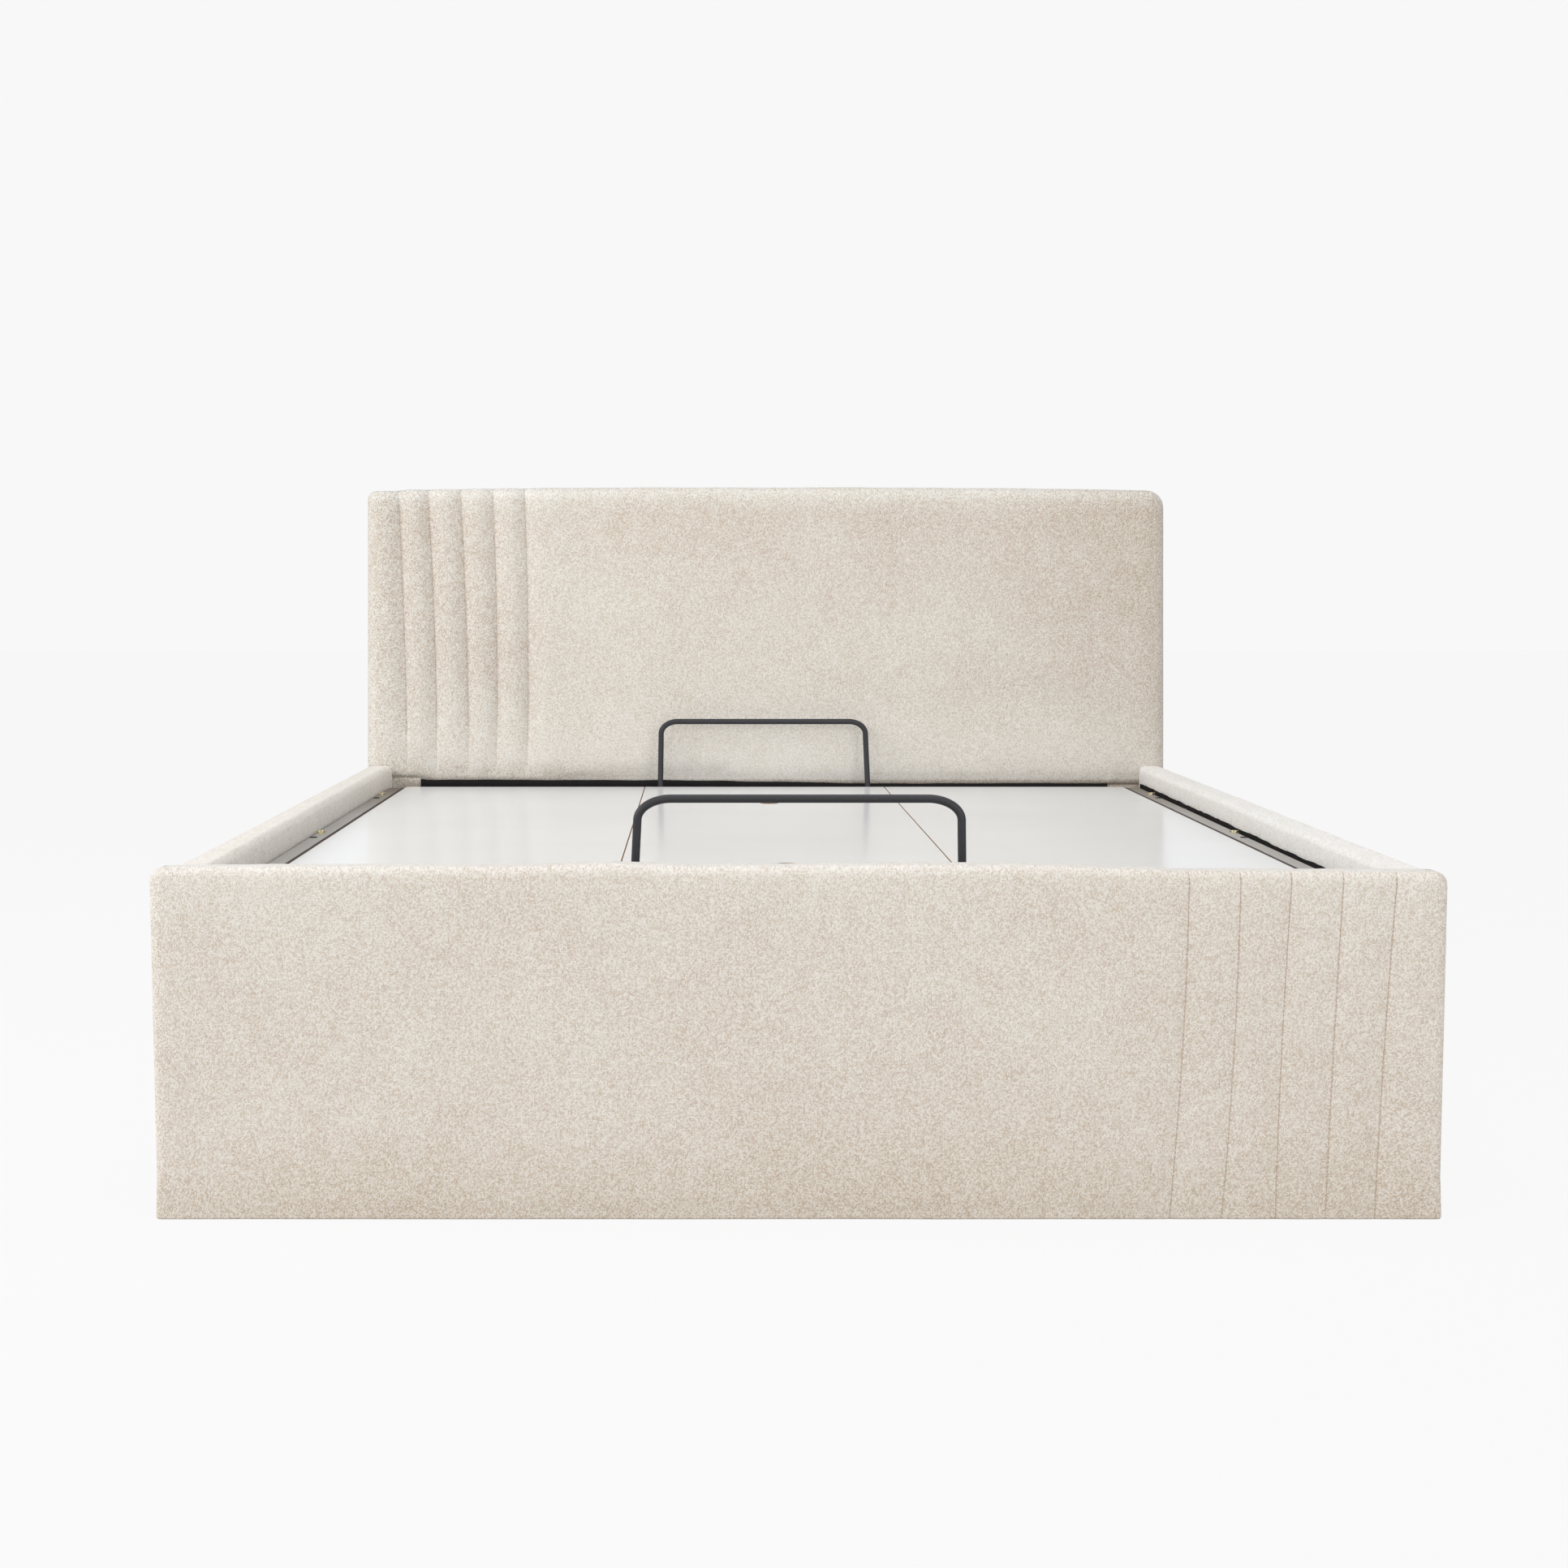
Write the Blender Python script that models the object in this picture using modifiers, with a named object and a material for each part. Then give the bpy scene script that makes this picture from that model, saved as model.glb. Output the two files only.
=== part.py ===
"""Queen-size storage bed: padded headboard and footboard, padded rails, and a platform of three boards
on a steel frame that tilts up on two pivots, with a gas strut on each side.

Lengths are in metres and +Z is up. The headboard stands at +Y and the footboard at -Y.
The origin is on the floor below the middle of the bed.
"""

from math import asin, cos, hypot, pi, radians, sin, sqrt

import bmesh
import bpy
from mathutils import Matrix, Vector

# Mattress and outer shape
MATTRESS_WIDTH = 1.524
MATTRESS_LENGTH = 1.981
SIDE_ROOM = 0.030
END_ROOM = 0.024
RAIL_THICKNESS = 0.048
HEADBOARD_THICKNESS = 0.090
FOOTBOARD_THICKNESS = 0.055
HEADBOARD_HEIGHT = 1.015
PLATFORM_HEIGHT = 0.396
RAIL_ABOVE_PLATFORM = 0.040
FOOTBOARD_ABOVE_RAIL = 0.011

# Clearances
GAP = 0.0003
CUT_OVERRUN = 0.010
MERGE_DISTANCE = 0.00005

# Upholstery of the headboard and footboard
HEM_HEIGHT = 0.008
HEAD_FOAM = 0.045
FOOT_FOAM = 0.0285
FOOT_INNER_FABRIC = 0.0065
PAD_SIDE_WALL = 0.030
PAD_TOP_WALL = 0.018
HEAD_CROWN = 0.004
HEAD_EDGE_ROUND = 0.022
HEAD_CORNER_ROUND = 0.030
HEAD_TOP_SAG = 0.005
FOOT_CROWN = 0.003
FOOT_EDGE_ROUND = 0.014
FOOT_CORNER_ROUND = 0.018
FOOT_INNER_ROUND = 0.010
FOOT_DRAW_IN = 0.010
CHANNEL_COUNT = 5
CHANNEL_PITCH = 0.0655
HEAD_CHANNEL_DEPTH = 0.009
FOOT_CHANNEL_DEPTH = 0.0035
HEAD_FIRST_LEAN = 0.019
HEAD_LAST_LEAN = 0.0065
FOOT_LEAN = 0.019
TUCK_ABOVE_PLATFORM = 0.0135
TUCK_DEPTH = 0.006
TUCK_HALF_WIDTH = 0.010
EDGE_SHARES = (0.0, 0.12, 0.42, 1.0)
SEAM_SHARES = (-0.30, -0.09, 0.0, 0.09, 0.30)
PLAIN_COLUMNS = 8
PLAIN_ROWS = 7

# Panels and linings of the headboard and footboard
HEAD_PANEL_THICKNESS = 0.040
BACK_RECESS = 0.0047
LINING_THICKNESS = 0.0015
LINING_HEM = 0.020
HEAD_TAB_WIDTH = 0.065
HEAD_LINING_BELOW_TUCK = 0.008
FOOT_LINING_BELOW_PLATFORM = 0.011

# Side rails
RAIL_BOARD_THICKNESS = 0.025
RAIL_INNER_FABRIC = 0.0047
RAIL_TOP_FOAM = 0.0117
RAIL_OUTER_ROUND = 0.018
RAIL_INNER_ROUND = 0.014
RAIL_HEM_HEIGHT = 0.012
RAIL_END_GAP = 0.0008
RAIL_LINING_THICKNESS = 0.0020
LEFT_FABRIC_BELOW_PLATFORM = 0.0005
RIGHT_FABRIC_ABOVE_PLATFORM = 0.0085

# Storage box
LEDGER_SIZE = 0.030
FLOOR_HEIGHT = 0.050
FLOOR_THICKNESS = 0.009
FLOOR_BEAM_WIDTH = 0.044
DIVIDER_THICKNESS = 0.016
DIVIDER_BELOW_PLATFORM = 0.056
DIVIDER_BEFORE_PIVOT = 0.054
GLIDE_HEIGHT = 0.006
GLIDE_RADIUS = 0.015
FOOT_GLIDE_RADIUS = 0.010
GLIDE_EDGE = 0.120
BEAM_GLIDE_EDGE = 0.300

# Corner brackets and their bolts
BRACKET_LEG = 0.060
BRACKET_THICKNESS = 0.003
BRACKET_LOW = 0.080
BRACKET_BELOW_PLATFORM = 0.086
BOLT_HEAD_RADIUS = 0.0075
BOLT_HEAD_HEIGHT = 0.0045
BRACKET_BOLT_INSET = 0.040
BRACKET_BOLT_MARGIN = 0.035

# Lifting frame
FRAME_CLEARANCE = 0.0035
SIDE_TUBE_WIDTH = 0.033
SIDE_TUBE_DEPTH = 0.036
TUBE_WALL = 0.002
TUBE_ROUND = 0.0035
SIDE_TUBE_BELOW_TOP = 0.002
SIDE_TUBE_SETBACK = 0.006
CROSS_TUBE_WIDTH = 0.030
CROSS_TUBE_DEPTH = 0.020
CROSS_TUBE_ROUND = 0.003
END_TUBE_SETBACK = 0.085
FRONT_TUBE_BEFORE_PIVOT = 0.920
MIDDLE_TUBE_BEFORE_PIVOT = 0.450

# Platform boards
BOARD_THICKNESS = 0.016
BOARD_END_GAP = 0.040
BOARD_TUBE_GAP = 0.003
BOARD_SEAM = 0.0006
BOARD_BEVEL = 0.0008
VENT_RADIUS = 0.0175
VENT_FROM_HEAD_END = 0.405
VENT_FROM_FOOT_END = 0.440

# Frame bolts and the open holes beside them
FRAME_BOLT_BEFORE_PIVOT = 0.505
FRAME_BOLT_AFTER_PIVOT = 0.295
FRAME_BOLT_INSET = 0.0082
FRAME_BOLT_HEIGHT = 0.006
FRAME_HOLE_RADIUS = 0.0047
FRAME_HOLE_OFFSET = 0.080

# Lift pivot
PIVOT_FROM_HEADBOARD = 0.515
PIVOT_BELOW_TOP = 0.018
PIVOT_PIN_RADIUS = 0.006
PIVOT_RUNNING_GAP = 0.0004
PIVOT_PLATE_THICKNESS = 0.0047
PIVOT_EAR_RADIUS = 0.0135
PIVOT_PLATE_HALF_WIDTH = 0.045
PIVOT_PLATE_DROP = 0.190
PIVOT_PLATE_SHOULDER = 0.060
PIVOT_BOLT_SPREAD = 0.025
PIVOT_BOLT_DROPS = (0.085, 0.165)

# Gas struts
STRUT_REACH = 0.380
LOWER_STUD_BEFORE_PIVOT = 0.2325
STUD_DROP = 0.035
STUD_RADIUS = 0.004
EYE_RADIUS = 0.009
EYE_WIDTH = 0.010
CYLINDER_RADIUS = 0.011
CYLINDER_WALL = 0.0015
CYLINDER_BASE = 0.008
GLAND_LENGTH = 0.014
ROD_RADIUS = 0.005
PISTON_RADIUS = 0.0088
PISTON_LENGTH = 0.012
PISTON_END_ROOM = 0.006
STRUT_END_ROOM = 0.010
DROP_PLATE_THICKNESS = 0.004
DROP_PLATE_LENGTH = 0.070
DROP_PLATE_BELOW_STUD = 0.012
ANCHOR_PLATE_THICKNESS = 0.004
ANCHOR_PLATE_HALF = 0.016
ANCHOR_PLATE_HALF_LENGTH = 0.045
ANCHOR_ABOVE_FLOOR = 0.0024
ANCHOR_CAP_RADIUS = 0.007
ANCHOR_CAP_THICKNESS = 0.003

# Mattress retainers
RETAINER_ROD_RADIUS = 0.005
RETAINER_HALF_SPAN = 0.2152
RETAINER_RISE = 0.139
RETAINER_LEAN = radians(2.7)
RETAINER_CORNER_WIDTH = 0.045
RETAINER_CORNER_HEIGHT = 0.033
RETAINER_BOARD_GAP = 0.001
RETAINER_FOOT_LENGTH = 0.060
RETAINER_FOOT_DROP = 0.006
RETAINER_BEND = 0.012
CLAMP_HALF_WIDTH = 0.019
CLAMP_HALF_LENGTH = 0.011
CLAMP_COVER = 0.003
CLAMP_FROM_BEND = 0.040

# Places worked out from the sizes above
RAIL_HEIGHT = PLATFORM_HEIGHT + RAIL_ABOVE_PLATFORM
FOOTBOARD_HEIGHT = RAIL_HEIGHT + FOOTBOARD_ABOVE_RAIL
TUCK_HEIGHT = PLATFORM_HEIGHT + TUCK_ABOVE_PLATFORM
BRACKET_HIGH = PLATFORM_HEIGHT - BRACKET_BELOW_PLATFORM
FLOOR_TOP = FLOOR_HEIGHT + FLOOR_THICKNESS
INNER_HALF = (MATTRESS_WIDTH + SIDE_ROOM) / 2
OUTER_HALF = INNER_HALF + RAIL_THICKNESS
BED_LENGTH = MATTRESS_LENGTH + END_ROOM + HEADBOARD_THICKNESS + FOOTBOARD_THICKNESS
BACK_Y = BED_LENGTH / 2
FRONT_Y = -BED_LENGTH / 2
HEAD_FACE_Y = BACK_Y - HEADBOARD_THICKNESS
FOOT_FACE_Y = FRONT_Y + FOOTBOARD_THICKNESS
HEAD_BASE_Y = HEAD_FACE_Y + HEAD_CROWN
RAIL_FOOT_Y = FOOT_FACE_Y + GAP
RAIL_HEAD_Y = HEAD_BASE_Y - RAIL_END_GAP
RAIL_BOARD_INNER = INNER_HALF + RAIL_INNER_FABRIC + GAP
LINING_FACE = RAIL_BOARD_INNER - GAP - RAIL_LINING_THICKNESS
BOARD_BOTTOM = PLATFORM_HEIGHT - BOARD_THICKNESS
BOARD_HEAD_Y = HEAD_FACE_Y - BOARD_END_GAP
BOARD_FOOT_Y = FOOT_FACE_Y + BOARD_END_GAP
TUBE_OUTER = INNER_HALF - FRAME_CLEARANCE
TUBE_INNER = TUBE_OUTER - SIDE_TUBE_WIDTH
TUBE_TOP = PLATFORM_HEIGHT - SIDE_TUBE_BELOW_TOP
TUBE_BOTTOM = TUBE_TOP - SIDE_TUBE_DEPTH
BOARDS_HALF = TUBE_INNER - BOARD_TUBE_GAP
PIVOT_Y = HEAD_FACE_Y - PIVOT_FROM_HEADBOARD
PIVOT_Z = PLATFORM_HEIGHT - PIVOT_BELOW_TOP
DIVIDER_BACK_Y = PIVOT_Y - DIVIDER_BEFORE_PIVOT
STRUT_X = (TUBE_INNER + TUBE_OUTER) / 2
UPPER_STUD_ANGLE = asin(STUD_DROP / STRUT_REACH)
LOWER_STUD_Z = FLOOR_TOP + ANCHOR_ABOVE_FLOOR + ANCHOR_PLATE_HALF
UPPER_STUD_Y = PIVOT_Y - STRUT_REACH * cos(UPPER_STUD_ANGLE)
UPPER_STUD_Z = PIVOT_Z - STRUT_REACH * sin(UPPER_STUD_ANGLE)
LOWER_STUD_Y = PIVOT_Y - LOWER_STUD_BEFORE_PIVOT
STRUT_CLOSED = hypot(UPPER_STUD_Y - LOWER_STUD_Y, UPPER_STUD_Z - LOWER_STUD_Z)
SIDES = (("left", -1), ("right", 1))

for existing in list(bpy.data.objects):
    bpy.data.objects.remove(existing, do_unlink=True)

PARTS = bpy.data.collections.new("storage_bed")
CUTTERS = bpy.data.collections.new("cutters")
bpy.context.scene.collection.children.link(PARTS)
bpy.context.scene.collection.children.link(CUTTERS)


def paint(name, color, roughness, metallic=0.0):
    """A plain Principled material."""
    material = bpy.data.materials.new(name)
    material.use_nodes = True
    shader = material.node_tree.nodes["Principled BSDF"]
    shader.inputs["Base Color"].default_value = (*color, 1.0)
    shader.inputs["Roughness"].default_value = roughness
    shader.inputs["Metallic"].default_value = metallic
    material.diffuse_color = (*color, 1.0)
    return material


CHENILLE = paint("chenille", (0.80, 0.74, 0.66), 0.95)
LINING = paint("black_lining", (0.018, 0.017, 0.017), 0.9)
TIMBER = paint("timber", (0.62, 0.45, 0.28), 0.75)
LAMINATE = paint("white_laminate", (0.84, 0.84, 0.83), 0.3)
GREY_STEEL = paint("grey_steel", (0.33, 0.33, 0.33), 0.45, 0.4)
BLACK_STEEL = paint("black_steel", (0.02, 0.022, 0.027), 0.45, 0.3)
YELLOW_ZINC = paint("yellow_zinc", (0.72, 0.58, 0.30), 0.3, 1.0)
CHROME_ROD = paint("polished_rod", (0.75, 0.75, 0.76), 0.12, 1.0)
GLIDE_PLASTIC = paint("glide_plastic", (0.05, 0.05, 0.05), 0.6)


def add_object(name, mesh, material, matrix=None):
    """Put a mesh in the bed's collection as one sub-part."""
    part = bpy.data.objects.new(name, mesh)
    mesh.name = name
    mesh.materials.clear()
    mesh.materials.append(material)
    PARTS.objects.link(part)
    if matrix is not None:
        part.matrix_world = matrix
    return part


def as_cutter(part):
    """Move a shape to the cutters, which are not parts of the bed."""
    PARTS.objects.unlink(part)
    CUTTERS.objects.link(part)
    part.hide_render = True
    part.display_type = "WIRE"
    return part


def combine(part, other, operation):
    """Cut the part by another shape, or fuse that shape to it."""
    modifier = part.modifiers.new(other.name, "BOOLEAN")
    modifier.operation = operation
    modifier.object = as_cutter(other)
    modifier.solver = "EXACT"
    return part


def block(name, material, low, high, bevel=0.0, segments=2):
    """A box between two corners, with its edges eased if a bevel is given."""
    low = Vector(low)
    high = Vector(high)
    mesh = bpy.data.meshes.new(name)
    shell = bmesh.new()
    bmesh.ops.create_cube(shell, size=1.0)
    bmesh.ops.scale(shell, vec=high - low, verts=shell.verts)
    shell.to_mesh(mesh)
    shell.free()
    part = add_object(name, mesh, material, Matrix.Translation((low + high) / 2))
    if bevel:
        modifier = part.modifiers.new("eased_edges", "BEVEL")
        modifier.width = bevel
        modifier.segments = segments
    return part


def cylinder(name, material, start, end, radius, sides=20):
    """A round bar between two points."""
    start = Vector(start)
    end = Vector(end)
    mesh = bpy.data.meshes.new(name)
    shell = bmesh.new()
    bmesh.ops.create_cone(
        shell, cap_ends=True, segments=sides, radius1=radius, radius2=radius, depth=(end - start).length
    )
    shell.to_mesh(mesh)
    shell.free()
    mesh.shade_smooth()
    mesh.set_sharp_from_angle(angle=radians(40))
    turn = Vector((0, 0, 1)).rotation_difference(end - start).to_matrix().to_4x4()
    return add_object(name, mesh, material, Matrix.Translation((start + end) / 2) @ turn)


def curve_to_part(name, curve, material, matrix):
    """Turn a curve into a closed mesh with welded caps."""
    guide = bpy.data.objects.new(name + "_curve", curve)
    bpy.context.scene.collection.objects.link(guide)
    evaluated = guide.evaluated_get(bpy.context.evaluated_depsgraph_get())
    mesh = bpy.data.meshes.new_from_object(evaluated)
    bpy.data.objects.remove(guide, do_unlink=True)
    shell = bmesh.new()
    shell.from_mesh(mesh)
    bmesh.ops.remove_doubles(shell, verts=shell.verts, dist=MERGE_DISTANCE)
    bmesh.ops.recalc_face_normals(shell, faces=shell.faces)
    shell.to_mesh(mesh)
    shell.free()
    mesh.shade_smooth()
    mesh.set_sharp_from_angle(angle=radians(35))
    return add_object(name, mesh, material, matrix)


def extruded(name, material, loops, axis, start, end):
    """A flat outline, with any holes after it, extruded along X, Y or Z.

    The points are (y, z) for X, (x, z) for Y and (x, y) for Z.
    """
    curve = bpy.data.curves.new(name, "CURVE")
    curve.dimensions = "2D"
    curve.fill_mode = "BOTH"
    curve.extrude = (end - start) / 2
    for points in loops:
        spline = curve.splines.new("POLY")
        spline.points.add(len(points) - 1)
        for slot, (across, up) in zip(spline.points, points):
            slot.co = (across, up, 0, 1)
        spline.use_cyclic_u = True
    middle = (start + end) / 2
    if axis == "X":
        matrix = Matrix(((0, 0, 1, middle), (1, 0, 0, 0), (0, 1, 0, 0), (0, 0, 0, 1)))
    elif axis == "Y":
        matrix = Matrix(((1, 0, 0, 0), (0, 0, -1, middle), (0, 1, 0, 0), (0, 0, 0, 1)))
    else:
        matrix = Matrix.Translation((0, 0, middle))
    return curve_to_part(name, curve, material, matrix)


def arc(center, width, height, first, last, steps=4):
    """Points on a quarter of an ellipse, or any other stretch of it, with angles in degrees."""
    angles = [radians(first + (last - first) * step / steps) for step in range(steps + 1)]
    return [(center[0] + width * cos(angle), center[1] + height * sin(angle)) for angle in angles]


def rounded_box(low, high, radius, steps=3):
    """The outline of a rectangle with round corners."""
    left, bottom = low[0] + radius, low[1] + radius
    right, top = high[0] - radius, high[1] - radius
    return (
        arc((right, bottom), radius, radius, -90, 0, steps)
        + arc((right, top), radius, radius, 0, 90, steps)
        + arc((left, top), radius, radius, 90, 180, steps)
        + arc((left, bottom), radius, radius, 180, 270, steps)
    )


def mirrored(points, side):
    """The same outline on the left (-1) or right (1) side."""
    return [(side * across, up) for across, up in points]


def span(side, inner, outer):
    """The two X values of a piece that runs from inner to outer on one side, lowest first."""
    return tuple(sorted((side * inner, side * outer)))


def hang_on(parent, parts):
    """Parent parts to an empty without moving them."""
    for part in parts:
        part.parent = parent
        part.matrix_parent_inverse = parent.matrix_basis.inverted()


def axis_empty(name, place):
    """An empty on a joint's axis."""
    empty = bpy.data.objects.new(name, None)
    empty.location = place
    PARTS.objects.link(empty)
    return empty


def padded_form(name, material, columns, rows, layers, shape):
    """A closed cushion: a grid for its face, layers of side wall behind its rim, and a flat back.

    The grid is first made in steps of one, so that shape(column, row, layer) can place each point.
    """
    shell = bmesh.new()
    bmesh.ops.create_grid(shell, x_segments=len(columns) - 1, y_segments=len(rows) - 1, size=1.0)
    for point in shell.verts:
        column = round((point.co.x + 1) / 2 * (len(columns) - 1))
        row = round((point.co.y + 1) / 2 * (len(rows) - 1))
        point.co = (column, 0, row)
    for _ in range(layers):
        rim = [edge for edge in shell.edges if edge.is_boundary]
        grown = bmesh.ops.extrude_edge_only(shell, edges=rim)["geom"]
        for item in grown:
            if isinstance(item, bmesh.types.BMVert):
                item.co.y += 1
    bmesh.ops.holes_fill(shell, edges=[edge for edge in shell.edges if edge.is_boundary], sides=0)
    for point in shell.verts:
        column, layer, row = (round(value) for value in point.co)
        point.co = shape(columns[column], rows[row], layer)
    bmesh.ops.recalc_face_normals(shell, faces=shell.faces)
    mesh = bpy.data.meshes.new(name)
    shell.to_mesh(mesh)
    shell.free()
    mesh.shade_smooth()
    mesh.set_sharp_from_angle(angle=radians(50))
    return add_object(name, mesh, material)


def channel_columns(side, half_width, edge_round):
    """Column places across a padded face, close together at its edges and at the sewn channels."""
    edge = [edge_round * share for share in EDGE_SHARES]
    seams = [CHANNEL_PITCH * (index + 1) for index in range(CHANNEL_COUNT)]
    near = [seam + CHANNEL_PITCH * share for seam in seams for share in SEAM_SHARES]
    first_plain = seams[-1] + CHANNEL_PITCH / 2
    plain_width = 2 * half_width - first_plain - edge_round
    plain = [first_plain + plain_width * step / PLAIN_COLUMNS for step in range(PLAIN_COLUMNS)]
    far = [2 * half_width - inset for inset in reversed(edge)]
    return sorted(side * (half_width - inset) for inset in edge + near + plain + far)


def channel_lean(inset, first_lean, last_lean):
    """How far the foot of a column leans towards the middle, at a distance in from the channelled edge."""
    first = CHANNEL_PITCH
    last = CHANNEL_PITCH * CHANNEL_COUNT
    fade = 2 * CHANNEL_PITCH
    if inset < first:
        return first_lean * inset / first
    if inset < last:
        return first_lean + (last_lean - first_lean) * (inset - first) / (last - first)
    return max(0.0, last_lean * (1 - (inset - last) / fade))


def channel_groove(inset, depth):
    """How deep the face lies below its crown: a sharp valley at each seam and a round lobe between."""
    nearest = min(max(round(inset / CHANNEL_PITCH), 1), CHANNEL_COUNT)
    away = abs(inset / CHANNEL_PITCH - nearest)
    return depth * (1 - sin(pi * min(away, 0.5)))


def round_corner(x, z, half_width, low, high, radius):
    """Pull a point of a square-cornered grid onto the same place in a round-cornered one."""
    across = abs(x) - (half_width - radius)
    up = abs(z - (low + high) / 2) - ((high - low) / 2 - radius)
    if across <= 0 or up <= 0:
        return x, z
    pull = max(across, up) / hypot(across, up) - 1
    return (
        x + across * pull * (1 if x > 0 else -1),
        z + up * pull * (1 if z > (low + high) / 2 else -1),
    )


def edge_drop(x, z, half_width, low, high, corner, edge_round):
    """How far the face falls back near its rim, as a quarter round."""
    across = abs(x) - (half_width - corner)
    up = abs(z - (low + high) / 2) - ((high - low) / 2 - corner)
    depth = corner - hypot(max(across, 0), max(up, 0)) - min(max(across, up), 0)
    if depth >= edge_round:
        return 0.0
    inward = edge_round - max(depth, 0.0)
    return edge_round - sqrt(max(edge_round**2 - inward**2, 0.0))


def rows_between(low, high, edge_round, extra=()):
    """Row heights, close together at the top and bottom edges."""
    edge = [edge_round * share for share in EDGE_SHARES]
    inner_low, inner_high = low + edge_round, high - edge_round
    plain = [inner_low + (inner_high - inner_low) * step / PLAIN_ROWS for step in range(1, PLAIN_ROWS)]
    plain = [row for row in plain if all(abs(row - other) > TUCK_HALF_WIDTH for other in extra)]
    return sorted([low + inset for inset in edge] + plain + list(extra) + [high - inset for inset in edge])


def headboard_pad():
    """Foam and fabric over the front, top and sides of the headboard, with channels on the left."""
    low, high = HEM_HEIGHT, HEADBOARD_HEIGHT
    tuck_rows = (TUCK_HEIGHT - TUCK_HALF_WIDTH, TUCK_HEIGHT, TUCK_HEIGHT + TUCK_HALF_WIDTH)
    rows = rows_between(low, high, HEAD_EDGE_ROUND, tuck_rows)
    columns = channel_columns(-1, OUTER_HALF, HEAD_EDGE_ROUND)

    def shape(x, z, layer):
        inset = OUTER_HALF + x
        rise = min(max((z - TUCK_HEIGHT) / (high - TUCK_HEIGHT), 0.0), 1.0)
        flat_x = x
        x += channel_lean(inset, HEAD_FIRST_LEAN, HEAD_LAST_LEAN) * (1 - rise)
        x, z = round_corner(x, z, OUTER_HALF, low, high, HEAD_CORNER_ROUND)
        if layer:
            y = BACK_Y
        else:
            crown = (1 - (flat_x / OUTER_HALF) ** 2) * sin(pi * rise)
            y = HEAD_BASE_Y - HEAD_CROWN * crown
            y += edge_drop(x, z, OUTER_HALF, low, high, HEAD_CORNER_ROUND, HEAD_EDGE_ROUND)
            if rise > 0:
                y += channel_groove(inset, HEAD_CHANNEL_DEPTH) * min(1.0, 4 * rise)
            tuck = max(0.0, 1 - abs(z - TUCK_HEIGHT) / TUCK_HALF_WIDTH)
            y += TUCK_DEPTH * tuck
        sag = HEAD_TOP_SAG * (flat_x / OUTER_HALF) ** 2
        z -= sag * max(0.0, (z - TUCK_HEIGHT) / (high - TUCK_HEIGHT))
        return x, y, z

    return padded_form("headboard_pad", CHENILLE, columns, rows, 1, shape)


def footboard_pad():
    """Foam and fabric over the outside, top and inside of the footboard, with channels on the right."""
    low, high = HEM_HEIGHT, FOOTBOARD_HEIGHT
    rows = rows_between(low, high, FOOT_EDGE_ROUND)
    columns = channel_columns(1, OUTER_HALF, FOOT_EDGE_ROUND)
    back_steps = ((0.0, 1.0), (1 - cos(pi / 4), 1 - sin(pi / 4)), (1.0, 0.0))

    def shape(x, z, layer):
        inset = OUTER_HALF - x
        rise = (z - low) / (high - low)
        flat_x = x
        x -= channel_lean(inset, FOOT_LEAN, FOOT_LEAN) * (1 - rise)
        x, z = round_corner(x, z, OUTER_HALF, low, high, FOOT_CORNER_ROUND)
        if layer:
            inward, forward = back_steps[layer - 1]
            y = FOOT_FACE_Y - FOOT_INNER_ROUND * forward
            x -= FOOT_INNER_ROUND * inward * x / OUTER_HALF
            z -= FOOT_INNER_ROUND * inward * (2 * rise - 1)
        else:
            crown = (1 - (flat_x / OUTER_HALF) ** 2) * sin(pi * rise)
            y = FRONT_Y + FOOT_CROWN * (1 - crown)
            y += edge_drop(x, z, OUTER_HALF, low, high, FOOT_CORNER_ROUND, FOOT_EDGE_ROUND)
            y += channel_groove(inset, FOOT_CHANNEL_DEPTH)
        x *= 1 - FOOT_DRAW_IN / OUTER_HALF * (1 - rise)
        return x, y, z

    return padded_form("footboard_pad", CHENILLE, columns, rows, 3, shape)


def build_headboard():
    """Pad, panel, back cover and the black lining below the platform's level."""
    panel_half = OUTER_HALF - PAD_SIDE_WALL
    panel_top = HEADBOARD_HEIGHT - PAD_TOP_WALL
    panel_front = HEAD_BASE_Y + HEAD_FOAM - HEAD_CROWN
    panel_back = BACK_Y - BACK_RECESS
    pad = headboard_pad()
    pocket = block(
        "headboard_pocket",
        TIMBER,
        (-panel_half - GAP, panel_front - GAP, -CUT_OVERRUN),
        (panel_half + GAP, BACK_Y + CUT_OVERRUN, panel_top + GAP),
    )
    combine(pad, pocket, "DIFFERENCE")
    block(
        "headboard_panel",
        TIMBER,
        (-panel_half, panel_back - HEAD_PANEL_THICKNESS, GLIDE_HEIGHT + GAP),
        (panel_half, panel_back, panel_top),
    )
    block(
        "headboard_back_cover",
        LINING,
        (-panel_half, panel_back + GAP, LINING_HEM),
        (panel_half, panel_back + GAP + LINING_THICKNESS, panel_top),
    )
    tab_half = INNER_HALF - HEAD_TAB_WIDTH
    block(
        "headboard_inner_lining",
        LINING,
        (-tab_half, HEAD_BASE_Y - GAP - LINING_THICKNESS, LINING_HEM + BRACKET_LOW),
        (tab_half, HEAD_BASE_Y - GAP, TUCK_HEIGHT - HEAD_LINING_BELOW_TUCK),
    )


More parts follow.
